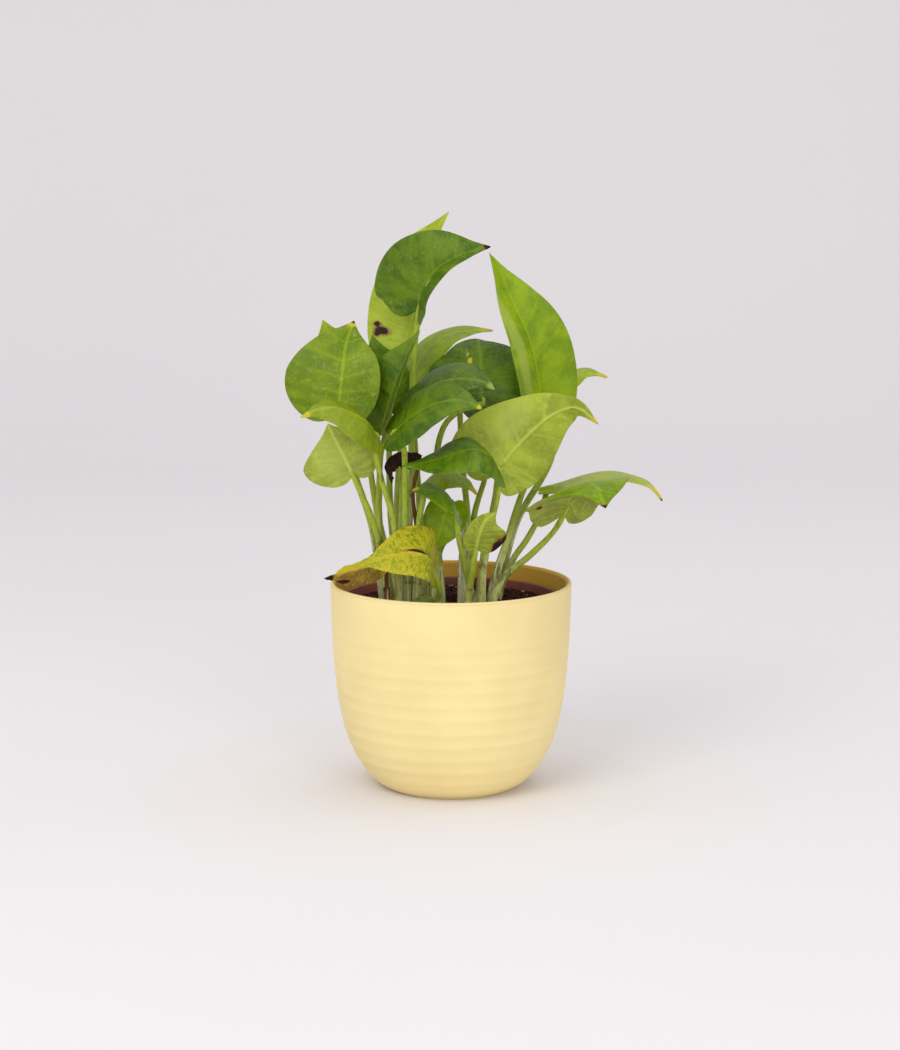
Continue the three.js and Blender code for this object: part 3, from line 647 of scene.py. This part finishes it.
def planter_material(name, colour_seen):
    """Moulded plastic with a fine satin grain, faint clouding, a few scuffs and a little dust."""
    shader = Shader(name)
    place = shader.place()
    clouds = shader.noise(place, 16.0, 3.0)
    grain = shader.noise(place, 1500.0, 3.0, 0.6)
    colour = shader.mix(shader.step(clouds, 0.3, 0.7), lighter(colour_seen, -6), lighter(colour_seen, 3))
    colour = shader.stain(colour, (200, 176, 110), grain, 0.06)
    scuffed = shader.step(shader.noise(shader.place((1.0, 1.0, 6.0)), 85.0, 6.0, 0.75), 0.665, 0.72)
    colour = shader.stain(colour, (206, 180, 118), scuffed, 0.22)
    worn = shader.span(shader.noise(place, 240.0, 5.0), 0.0, 0.8)
    colour = shader.stain(colour, (190, 160, 96), shader.times(shader.field("edge"), worn), 0.35)
    gloss = shader.plus(shader.span(clouds, 0.46, 0.6), shader.times(scuffed, 0.15))
    return shader.finish(colour, gloss, 0.28, shader.relief((grain, 0.00006, 0.5), (clouds, 0.0008, 0.25)))


def pot_material():
    """Thin brown nursery plastic, with a painted highlight along its rim and soil dust clinging to it."""
    shader = Shader("grow_pot_plastic")
    place = shader.place()
    clouds = shader.noise(place, 45.0, 4.0)
    colour = shader.mix(shader.step(clouds, 0.35, 0.65), scaled(POT_BROWN, 0.78), POT_BROWN)
    # Painted highlight: the top millimetre of the rim is lighter and pinker, as if catching the light.
    colour = shader.stain(colour, (176, 112, 92), shader.field("edge"), 0.55)
    dirt = shader.step(shader.noise(place, 380.0, 6.0, 0.72), 0.56, 0.68)
    colour = shader.stain(colour, SOIL_BROWN, dirt, 0.6)
    scratches = shader.noise(shader.place((1.0, 1.0, 0.1)), 700.0, 2.0)
    gloss = shader.plus(shader.span(clouds, 0.4, 0.55), shader.times(dirt, 0.3))
    return shader.finish(colour, gloss, 0.4, shader.relief((scratches, 0.0002, 0.3), (dirt, 0.0003, 0.5)))


def soil_material(name, dark, light, roughness):
    """Crumbs of one kind in the potting mix."""
    shader = Shader(name)
    place = shader.place()
    lumps = shader.noise(place, 520.0, 5.0, 0.7)
    patches = shader.noise(place, 60.0, 3.0)
    colour = shader.mix(shader.step(lumps, 0.4, 0.64), dark, light)
    colour = shader.stain(colour, dark, shader.step(patches, 0.45, 0.65), 0.35)
    fibres = shader.step(shader.noise(shader.place((1.0, 0.2, 1.0)), 1500.0, 2.0), 0.62, 0.7)
    colour = shader.stain(colour, scaled(light, 1.25), fibres, 0.35)
    gloss = shader.span(patches, roughness - 0.08, roughness)
    return shader.finish(colour, gloss, 0.2, shader.relief((lumps, 0.0009, 0.8)))


# Leaf blades


def rib_frames(leaf, count=40):
    """The midrib's points, directions, upper sides and right-hand sides, at even steps."""
    route = Route(from_rim(leaf["rib"]))
    shares = np.linspace(0, 1, count + 1)
    along = route.direction(shares)
    up = carried(leaf["face"], along, count // 2)
    return dict(point=route.at(shares), along=along, up=up, right=np.cross(along, up), length=route.length)


def blade_points(leaf, rib, share, across, height):
    """Points of a blade, in millimetres, and how far along its midrib and right of it each one is.
    share goes round the margin from the notch (0) to the tip (1), across from the left margin (-1) to the
    right one (1), and height is off the blade's middle surface."""
    margin = smooth_curve(MARGIN, share)
    start = smooth_curve(VEIN_STARTS, share)[..., 0]
    outside = np.abs(across)
    reached = start + (margin[..., 0] - start) * outside
    right = across >= 0

    def side_value(key):
        return np.where(right, leaf[key][1], leaf[key][0])

    half = side_value("half")
    along = np.where(reached > 0, np.abs(reached) ** side_value("belly"), reached)
    reach = half * margin[..., 1] * outside
    fold = np.radians(side_value("fold"))
    curl = np.radians(side_value("curl")) / half
    curl = np.where(np.abs(curl) < NO_CURL, NO_CURL, curl)
    turn = fold + curl * reach
    outward = (np.sin(turn) - np.sin(fold)) / curl
    upward = (np.cos(fold) - np.cos(turn)) / curl
    place = np.clip(along, 0, 0.9999) * (len(rib["point"]) - 1)
    low = place.astype(int)
    part = (place - low)[..., None]
    point, way, up, side = (rib[key][low] * (1 - part) + rib[key][low + 1] * part
                            for key in ("point", "along", "up", "right"))
    tilt = np.where(outside == 0, 0, turn)
    sign = np.where(right, 1, -1)
    points = (
        point
        + way * (np.minimum(along, 0) * rib["length"])[..., None]
        + side * (sign * (outward - height * np.sin(tilt)))[..., None]
        + up * (upward + height * np.cos(tilt))[..., None]
    )
    return points, along, sign * reach


STATIONS = 100
# How near the notch and the tip the blade's first and last stations are, as shares of the margin.
FIRST_SHARE = 0.012
LAST_SHARE = 0.997
# Where each half's points are, from the midrib out to the margin, closest where the edge is rounded.
ACROSS = [*(np.linspace(0, 1, 14)[:-1] ** 1.4 * 0.95), 0.95, 0.975, 0.99, 0.9975, 1]
BLADE_THICKNESS = 0.5
# The margin's two waves: the limits of how many go round it, of where they start and of their size in mm.
MARGIN_WAVES = [((1.4, 2.6), ANY_PHASE, (0.25, 0.45)), ((4.0, 6.5), ANY_PHASE, (0.1, 0.2))]
# How many times as many and as big the waves of a dried blade are.
DRY_WAVES = 2.2


def add_leaf(name, leaf, seed, materials):
    """A blade with a sunken midrib above, a raised one below, swellings between its side veins, a wavy
    margin and a thin edge."""
    chance = random.Random(seed)
    rib = rib_frames(leaf)
    across = np.array([*(-np.array(ACROSS[:0:-1])), *ACROSS])
    share = np.linspace(FIRST_SHARE, LAST_SHARE, STATIONS + 1)[:, None]
    share, across = np.broadcast_arrays(share, across[None, :])
    _, along, off = blade_points(leaf, rib, share, across, np.zeros_like(share))
    outside = np.abs(across)
    ends = np.clip(np.minimum(share - FIRST_SHARE, LAST_SHARE - share) * 30, 0, 1)
    edge = np.sqrt(np.clip(1 - outside**40, 0, 1)) * ends
    distance = np.abs(off)
    tip_fade = np.clip(1 - along, 0, 1)
    groove = 0.32 * np.exp(-((distance / 0.8) ** 2)) * (0.3 + 0.7 * tip_fade)
    ridge = (0.25 + 0.75 * tip_fade) * np.exp(-((distance / 0.75) ** 2))
    phase = 2 * np.pi * SIDE_VEINS * share
    vein = np.clip(np.cos(phase), 0, 1) ** 12 * (1 - outside) * np.clip(distance / 2, 0, 1)
    swell = -0.06 * np.cos(phase) * 4 * outside * (1 - outside)
    waves = [[chance.uniform(*limits) for limits in wave] for wave in MARGIN_WAVES]
    if leaf["look"] in DRY_LOOKS:
        waves = [(rate * DRY_WAVES, start, DRY_WAVES * size) for rate, start, size in waves]
    turn = 2 * np.pi * share
    unlike = 2.1 * (across > 0)
    wave = sum(size * np.sin(rate * turn + start + unlike) for rate, start, size in waves)
    lift = (swell + wave * outside**2) * np.clip(share * 8, 0, 1)
    half_thick = 0.5 * BLADE_THICKNESS * edge
    upper, _, _ = blade_points(leaf, rib, share, across, lift + half_thick - (groove + 0.1 * vein) * edge)
    under, _, _ = blade_points(leaf, rib, share, across, lift - half_thick - (ridge + 0.14 * vein) * edge)

    rows, columns = share.shape
    index = np.arange(rows * columns).reshape(rows, columns)
    border = np.zeros_like(index, bool)
    border[[0, -1], :] = True
    border[:, [0, -1]] = True
    below = np.full_like(index, -1)
    below[border] = index[border]
    below[~border] = rows * columns + np.arange((~border).sum())
    points = np.vstack([upper.reshape(-1, 3), under[~border]])

    def quads(grid, flipped):
        a, b, c, d = grid[:-1, :-1], grid[:-1, 1:], grid[1:, 1:], grid[1:, :-1]
        order = (a, d, c, b) if flipped else (a, b, c, d)
        return np.stack([corner.ravel() for corner in order], axis=1)

    faces = np.vstack([quads(index, False), quads(below, True)])

    def both(grid):
        return np.concatenate([grid.ravel(), grid[~border]])

    uv = np.stack([both(share), 0.5 + 0.5 * both(across)], axis=1)
    fields = dict(off_rib=both(distance), tone=TONES.get(name, chance.random()), seed=seed * 7.31,
                  streak=STREAKS.get(name, 0.0), dust=DUST.get(name, 0.12))
    for kind in ("burnt", "gold", "pale"):
        field = np.full(len(points), -2.0)
        for which, at, right_of, long, wide in BLEMISHES.get(name, []):
            if which == kind:
                away = np.hypot((both(along) - at) * rib["length"] / long, (both(off) - right_of) / wide)
                field = np.maximum(field, 1 - away)
        fields[kind] = field
    count = (rows - 1) * (columns - 1)
    add_piece(f"leaf_{name}", points, faces, materials,
              [uv[face] for face in faces], fields, [0] * count + [1] * count)
    return rib


# Stalks


STALK_SIDES = 24
STALK_RINGS = 70


def stalk_points(route, radius_at, up_end, channel=0.22, sheath=(0.06, 0.5)):
    """A stalk with a channel down one side and, low down, the two wings of its sheath beside it."""
    shares = np.linspace(0, 1, STALK_RINGS)
    centres, ways = route.at(shares), route.direction(shares)
    ups = carried(up_end, ways, STALK_RINGS - 1)
    sides = np.cross(ways, ups)
    turn = np.linspace(-np.pi, np.pi, STALK_SIDES, endpoint=False)
    from_sheath = np.clip((shares - sheath[0]) * 14, 0, 1) * np.clip((sheath[1] - shares) * 9, 0, 1)
    wing = np.exp(-(((np.abs(turn) - 0.75) / 0.22) ** 2))
    dip = np.exp(-((turn / 0.5) ** 2))
    radius = np.array([radius_at(s) for s in shares])[:, None]
    size = radius * (1 - channel * dip + 0.28 * from_sheath[:, None] * wing)
    x, y = size * np.cos(turn), size * np.sin(turn)
    points = centres[:, None] + ups[:, None] * x[..., None] + sides[:, None] * y[..., None]
    wings = (from_sheath[:, None] * (wing + 0.35 * dip)).ravel()
    climb = np.repeat(shares, STALK_SIDES)
    return points.reshape(-1, 3), wings, climb


def closed_tube(points):
    """A tube's points and faces, with a point at the middle of each end."""
    faces = [face[::-1] for face in turned_faces(STALK_RINGS, STALK_SIDES)]
    foot, top = len(points), len(points) + 1
    last = foot - STALK_SIDES
    for j in range(STALK_SIDES):
        k = (j + 1) % STALK_SIDES
        faces += [(foot, j, k), (top, last + k, last + j)]
    ends = [points[:STALK_SIDES].mean(axis=0), points[last:].mean(axis=0)]
    return np.vstack([points, ends]), faces


def add_tube(node, slot, route, radius_at, up_end, material, scar, **shape):
    points, wings, climb = stalk_points(route, radius_at, up_end, **shape)
    scars = np.clip(1 - np.abs(climb - scar[0]) / scar[1], 0, 1)
    points, faces = closed_tube(points)
    fields = dict(wing=wings, climb=climb, scar=scars)
    fields = {key: [*values, values[0], values[-1]] for key, values in fields.items()}
    add_piece(node, points, faces, [material], fields=fields)


def add_stalk(name, leaf, rib, seed, material):
    """A leaf's stalk, from the soil up to the notch and on under the start of its midrib."""
    chance = random.Random(seed + 500)
    joint = rib["point"][0] - rib["along"][0] * STALK_TO_NOTCH
    tucked = [rib["point"][i] - rib["up"][i] * drop for i, drop in ((2, 0.75), (4, 0.7))]
    route = Route([*from_rim(leaf["stalk"]), joint - rib["up"][0] * 0.35, *tucked])
    joint_share = 1 - 0.09 * rib["length"] / route.length - STALK_TO_NOTCH / route.length
    dry = leaf["look"] in DRY_LOOKS

    def radius_at(share):
        low, high = STALK_RADII
        radius = low + (high - low) * min(share / joint_share, 1)
        radius *= 1 + 0.1 * math.exp(-(((share - joint_share + 5 / route.length) * route.length / 4) ** 2))
        radius *= 1 + 0.03 * math.sin(23 * share + seed)
        if share > joint_share:
            radius *= 1 - 0.62 * (share - joint_share) / (1 - joint_share)
        return radius * (0.62 if dry and share > 0.45 else 1)

    add_tube(f"stalk_{name}", "dry_brown" if dry else "leaf_stalk", route, radius_at, rib["up"][0], material,
             SCARS.get(name, (chance.uniform(0.2, 0.5), 0.05)), sheath=(0.05, chance.uniform(0.3, 0.52)))


def add_bare_stems(vine, sheath):
    """The cut vine with its joints, and the empty papery sheath."""

    def vine_bulge(share):
        return 1 + 0.1 * sum(math.exp(-(((share - at) / 0.035) ** 2)) for at in (0.45, 0.78))

    def sheath_taper(share):
        return 1 - 0.5 * max(0, share - 0.85) / 0.15

    def add_stem(name, slot, shape, *end_and_looks, **settings):
        low, high = BARE_STEMS[name]["radii"]

        def radius_at(share):
            return (low + (high - low) * share) * shape(share)

        route = Route(from_rim(BARE_STEMS[name]["route"]))
        add_tube(name, slot, route, radius_at, *end_and_looks, **settings)

    add_stem("vine_stub", "vine_stem", vine_bulge, (0, 0, 1), vine, (0.98, 0.08),
             channel=0.05, sheath=(0.6, 0.7))
    add_stem("pale_sheath", "dry_sheath", sheath_taper, (0, -1, 0), sheath, (0.97, 0.06),
             channel=0.55, sheath=(0.05, 0.95))


# Planter, grow pot and potting mix

# How far the planter's outline has gone from its foot's radius to its rim's, at shares of its height.
OUTLINE = smooth_curve(
    [
        (0, 0), (0.25, 0.045), (0.467, 0.12), (0.643, 0.205), (0.767, 0.304),
        (0.863, 0.43), (0.923, 0.563), (0.96, 0.696), (0.983, 0.84), (1, 1),
    ],
    np.linspace(0, 1, 91), mirrored_ends=False,
)


def outline_radius(height):
    outward = np.interp(np.asarray(height, float) / RIM_HEIGHT, OUTLINE[:, 1], OUTLINE[:, 0])
    return FOOT_RADIUS + (RIM_RADIUS - FOOT_RADIUS) * outward


def arc(centre, radius, start, stop, steps=6):
    """Points of an arc, (radius, height), between two angles in degrees from straight out."""
    turn = np.radians(np.linspace(start, stop, steps))
    return [(centre[0] + radius * math.cos(t), centre[1] + radius * math.sin(t)) for t in turn]


def add_turned(node, profile, sides, materials, edge, face_materials=None):
    """A piece turned from a profile, with an edge value for each of the profile's points: wear on the
    planter, painted highlight on the grow pot's rim.
    """
    points, faces = turned_points(profile, sides), turned_faces(len(profile), sides)
    fields = dict(edge=np.repeat(edge, sides))
    add_piece(node, points, faces, materials, fields=fields, face_materials=face_materials)


def add_planter(outside, inside):
    """The turned cup: a rounded foot, soft uneven ribs that fade out below the plain band, a rounded lip
    and a plain inside."""
    band = RIM_HEIGHT - PLAIN_BAND
    pitch = (band - RIBS_FROM) / RIB_COUNT
    heights = np.linspace(1.4, RIM_HEIGHT - LIP_RADIUS, 300)
    rib = 0.5 + 0.5 * np.cos(2 * np.pi * (heights - RIBS_FROM) / pitch + np.pi)
    fade = np.clip((heights - RIBS_FROM) / 4, 0, 1) * np.clip((band + 6 - heights) / 16, 0, 1)
    wander = 0.75 + 0.25 * np.sin(heights * 0.37 + 1.0)
    outer = outline_radius(heights) + (0.34 * rib**1.4 - 0.17) * fade * wander
    wall = outline_radius(heights[::-1]) - PLANTER_WALL - 0.35
    keep = heights[::-1] > PLANTER_FLOOR + 2
    profile = [(0, 0.8), (FOOT_RADIUS - 6, 0.8), (FOOT_RADIUS - 5.2, 0.0)]
    profile += arc((FOOT_RADIUS - 0.6, 1.3), 1.3, -90, -20)
    profile += list(zip(outer[2:], heights[2:]))
    profile += arc((RIM_RADIUS - LIP_RADIUS, RIM_HEIGHT - LIP_RADIUS), LIP_RADIUS, 0, 180, 13)
    profile += list(zip(wall[keep], heights[::-1][keep]))
    profile += [(wall[keep][-1] - 1.5, PLANTER_FLOOR + 0.6), (wall[keep][-1] - 3, PLANTER_FLOOR)]
    profile += [(0, PLANTER_FLOOR)]
    # The inside's deeper yellow, which is painted shade, starts at the top of the lip, six points before the
    # wall and the three floor points.
    first_inside = len(profile) - keep.sum() - 3 - 6
    face_materials = [int(i >= first_inside) for i in range(len(profile) - 1) for _ in range(PLANTER_SIDES)]
    height = np.asarray(profile)[:, 1]
    edge = np.clip(1 - np.abs(height - RIM_HEIGHT) / LIP_RADIUS, 0, 1) + np.clip(1 - height / 3, 0, 1)
    add_turned("planter", profile, PLANTER_SIDES, [outside, inside], edge, face_materials)


POT_BASE = PLANTER_FLOOR + GAP


def pot_radius(height):
    top = POT_RIM_RADIUS - POT_WALL
    return POT_FOOT_RADIUS + (top - POT_FOOT_RADIUS) * (height - POT_BASE) / (POT_TOP - POT_BASE)


def add_grow_pot(material):
    """A thin tapered nursery pot with a rounded rim and a stepped band. Its drain holes are left out."""
    heights = np.linspace(POT_BASE + 1, POT_TOP - POT_BAND - 0.8, 30)
    profile = [(0, POT_BASE), (POT_FOOT_RADIUS - 1, POT_BASE)]
    profile += [(pot_radius(height), height) for height in heights]
    profile += [(POT_RIM_RADIUS - 0.2, POT_TOP - POT_BAND + 0.4), (POT_RIM_RADIUS, POT_TOP - POT_BAND + 1)]
    profile += arc((POT_RIM_RADIUS - 0.7, POT_TOP - 0.7), 0.7, 0, 90)
    profile += arc((pot_radius(POT_TOP) - POT_WALL + 0.7, POT_TOP - 0.7), 0.7, 90, 180)
    profile += [(pot_radius(height) - POT_WALL, height) for height in heights[::-1]]
    profile += [(POT_FOOT_RADIUS - 2.5, POT_BASE + POT_WALL), (0, POT_BASE + POT_WALL)]
    # How much painted rim highlight each point gets: full at the top of the rim, none a millimetre down.
    edge = np.clip(1 - (POT_TOP - np.asarray(profile)[:, 1]), 0, 1)
    add_turned("grow_pot", profile, POT_SIDES, [material], edge)


def inside_pot(height):
    """How far the potting mix reaches at a height: a gap short of the grow pot's wall."""
    return pot_radius(height) - POT_WALL - GAP


SOIL_REACH = inside_pot(SOIL_EDGE)
SOIL_SIDES = 140
SOIL_RINGS = 60
# Loose crumbs: how many, the limits of their size in mm, how flat, which material, how much of them is up.
CRUMBS = [(2600, (0.35, 1.1), 0.7, 0, 0.15), (260, (1.0, 2.2), 0.6, 0, 0.0), (60, (0.5, 1.15), 0.8, 1, 0.3)]
CRUMB_SPREAD = 0.985
FIBRES = 130
FIBRE_SPREAD = 0.93
FIBRE_STEPS = 6


def lump(chance, size, flat):
    """A rough crumb: the corners and faces of a stretched, dented octahedron cut into eight."""
    corners = np.array([(1, 0, 0), (-1, 0, 0), (0, 1, 0), (0, -1, 0), (0, 0, 1), (0, 0, -1)], float)
    sides = [(0, 2, 4), (2, 1, 4), (1, 3, 4), (3, 0, 4), (2, 0, 5), (1, 2, 5), (3, 1, 5), (0, 3, 5)]
    points, faces, middles = [*corners], [], {}
    for side in sides:
        halves = []
        for a, b in ((side[0], side[1]), (side[1], side[2]), (side[2], side[0])):
            key = (min(a, b), max(a, b))
            if key not in middles:
                middles[key] = len(points)
                middle = points[a] + points[b]
                points.append(middle / np.linalg.norm(middle))
            halves.append(middles[key])
        x, y, z = halves
        faces += [(side[0], x, z), (x, side[1], y), (z, y, side[2]), (x, y, z)]
    stretch = np.array([chance.uniform(0.6, 1.3), chance.uniform(0.6, 1.3), flat * chance.uniform(0.6, 1.2)])
    shape = np.array([point * chance.uniform(0.72, 1.15) for point in points]) * stretch * size
    turn = chance.uniform(0, 2 * math.pi)
    lean = chance.uniform(-0.6, 0.6)
    spin = np.array(Matrix.Rotation(turn, 3, "Z") @ Matrix.Rotation(lean, 3, "X"))
    return shape @ spin.T, faces


def soil_height(x, y):
    """The potting mix's top: a low crown, with hollows and mounds."""
    share = np.hypot(x, y) / SOIL_REACH
    crown = SOIL_CROWN * (1 - share**2)
    rough = 0.7 * np.sin(x * 0.31 + 1.3) * np.cos(y * 0.27 - 0.4) + 0.45 * np.sin(x * 0.83 + y * 0.57)
    return SOIL_EDGE + crown + rough * (1 - share**4) - 0.6


def add_soil(mix, pale):
    """The mix's body with a rough top, under loose crumbs, fibres and a few grains of perlite."""
    chance = random.Random(11)
    floor = POT_BASE + POT_WALL + GAP
    body = [(0.01, floor), (inside_pot(floor), floor), (SOIL_REACH, SOIL_EDGE - 1)]
    points = [turned_points(body, SOIL_SIDES)]
    turn = np.linspace(0, 2 * np.pi, SOIL_SIDES, endpoint=False)
    for share in np.linspace(1, 0.004, SOIL_RINGS):
        x, y = SOIL_REACH * share * np.cos(turn), SOIL_REACH * share * np.sin(turn)
        jitter = np.array([chance.uniform(-0.35, 0.35) for _ in turn]) * min(1, 6 * (1 - share))
        points.append(np.stack([x, y, soil_height(x, y) + jitter], axis=1))
    points = [np.vstack(points)]
    offset = len(points[0])
    faces = turned_faces(offset // SOIL_SIDES, SOIL_SIDES)
    faces += [tuple(range(SOIL_SIDES))[::-1], tuple(range(offset - SOIL_SIDES, offset))]
    which = [0] * len(faces)

    def somewhere(reach):
        away, angle = reach * math.sqrt(chance.random()), chance.uniform(0, 2 * math.pi)
        return away * math.cos(angle), away * math.sin(angle)

    for number, sizes, flat, material, risen in CRUMBS:
        for _ in range(number):
            size = chance.uniform(*sizes)
            x, y = somewhere((SOIL_REACH - size) * CRUMB_SPREAD)
            shape, sides = lump(chance, size, flat)
            points.append(shape + (x, y, float(soil_height(x, y)) + size * risen))
            faces += [tuple(offset + corner for corner in side) for side in sides]
            which += [material] * len(sides)
            offset += len(shape)
    for _ in range(FIBRES):
        start = np.array(somewhere(SOIL_REACH * FIBRE_SPREAD))
        heading, length, bend = chance.uniform(*ANY_PHASE), chance.uniform(3, 9), chance.uniform(-0.9, 0.9)
        thick = chance.uniform(0.12, 0.25)
        faces.append(tuple(range(offset, offset + 4)))
        for i in range(FIBRE_STEPS + 1):
            way = heading + bend * i / FIBRE_STEPS
            here = start + length * (i / FIBRE_STEPS - 0.5) * np.array([math.cos(way), math.sin(way)])
            if np.hypot(*here) > SOIL_REACH - 0.5:
                here *= (SOIL_REACH - 0.5) / np.hypot(*here)
            lift = float(soil_height(*here)) + 0.45 + 0.7 * math.sin(math.pi * i / FIBRE_STEPS)
            side = np.array([-math.sin(way), math.cos(way), 0]) * thick
            points.append(np.array([[*here, lift]]) + np.array([side, UP * thick, -side, -UP * thick]))
            for a in range(offset, offset + 4) if i else ():
                b = offset + (a + 1 - offset) % 4
                faces.append((a - 4, b - 4, b, a))
            offset += 4
        faces.append(tuple(range(offset - 1, offset - 5, -1)))
    which += [0] * (len(faces) - len(which))
    add_piece("soil", np.vstack(points), faces, [mix, pale], face_materials=which)


# Stage

WORLD_LIGHT = 0.76
# Each light's name, place, aim and width in metres, and its power in watts.
LIGHTS = [
    ("key", (-0.8, -1.4, 1.4), (0, 0, 0.12), 1.0, 12.0),
    ("top", (0.3, 0.2, 2.0), (0, 0, 0.1), 1.4, 7.0),
    ("fill", (0.7, -2.0, 0.65), (0, 0, 0.15), 0.8, 8.0),
]
# The camera that the photo was taken with, solved from the planter's rim and foot.
CAMERA_SPOT = (-0.0005, -1.4446, 0.3776)
CAMERA_TILT = math.radians(80.75)
CAMERA_LENS = 93.5


def add_stage():
    """A pale floor that sweeps up into a wall a good way behind, soft lights and the camera."""
    shader = Shader("pale_paper")
    clouds = shader.noise(shader.place(), 3.0, 2.0)
    paper = shader.finish(shader.mix(clouds, (229, 226, 229), (233, 230, 232)), 0.85, 0.2)
    bend = [math.radians(t) for t in range(10, 91, 10)]
    depth = [-6.0, 1.2, *[1.2 + math.sin(t) for t in bend], 2.2]
    height = [0.0, 0.0, *[1.0 - math.cos(t) for t in bend], 6.0]
    points = [(x, y, z) for y, z in zip(depth, height) for x in (-7.0, 7.0)]
    faces = [(2 * i, 2 * i + 1, 2 * i + 3, 2 * i + 2) for i in range(len(depth) - 1)]
    mesh = bpy.data.meshes.new("studio_floor")
    mesh.from_pydata(points, [], faces)
    mesh.materials.append(paper)
    mesh.polygons.foreach_set("use_smooth", np.ones(len(faces), bool))
    floor = bpy.data.objects.new("studio_floor", mesh)
    bpy.context.scene.collection.objects.link(floor)

    world = bpy.data.worlds.new("studio")
    bpy.context.scene.world = world
    world.use_nodes = True
    background = world.node_tree.nodes["Background"]
    background.inputs["Color"].default_value = (1.0, 0.99, 0.985, 1.0)
    background.inputs["Strength"].default_value = WORLD_LIGHT
    for name, spot, aim, width, power in LIGHTS:
        light = bpy.data.lights.new(name, "AREA")
        light.shape = "SQUARE"
        light.size = width
        light.energy = power
        lamp = bpy.data.objects.new(name, light)
        lamp.location = spot
        lamp.rotation_euler = (Vector(aim) - Vector(spot)).to_track_quat("-Z", "Y").to_euler()
        bpy.context.scene.collection.objects.link(lamp)

    camera = bpy.data.cameras.new("camera")
    camera.lens = CAMERA_LENS
    camera.sensor_width = 36.0
    viewer = bpy.data.objects.new("camera", camera)
    viewer.location = CAMERA_SPOT
    viewer.rotation_euler = (CAMERA_TILT, 0, 0)
    bpy.context.scene.collection.objects.link(viewer)
    bpy.context.scene.camera = viewer
    bpy.context.scene.view_settings.view_transform = "Standard"


def build():
    sides = {look: [leaf_material(look, under) for under in (False, True)] for look in LEAF_LOOKS}
    fresh = stalk_material("leaf_stalk", STALK_GREEN, STALK_PALE_AND_PAINTED_LIGHT)
    dried = stalk_material("dry_stalk", (120, 84, 46), (150, 118, 70), dry=True)
    vine = stalk_material("vine_stem", (122, 140, 64), (150, 150, 90))
    sheath = stalk_material("dry_sheath", (196, 202, 160), SHEATH_WHITE, dry=True)
    for seed, (name, row) in enumerate(LEAVES.items(), start=1):
        leaf = {**PLAIN_LEAF, **row}
        rib = add_leaf(name, leaf, seed, sides[leaf["look"]])
        add_stalk(name, leaf, rib, seed, dried if leaf["look"] in DRY_LOOKS else fresh)
    add_bare_stems(vine, sheath)
    add_planter(
        planter_material("planter_plastic", PLANTER_YELLOW),
        planter_material("planter_inside_painted_shade", PLANTER_INSIDE_PAINTED_SHADE),
    )
    add_grow_pot(pot_material())
    add_soil(
        soil_material("potting_mix", SOIL_DARK, SOIL_BROWN, 0.95),
        soil_material("perlite", (176, 160, 140), PERLITE, 0.9),
    )
    add_stage()


build()
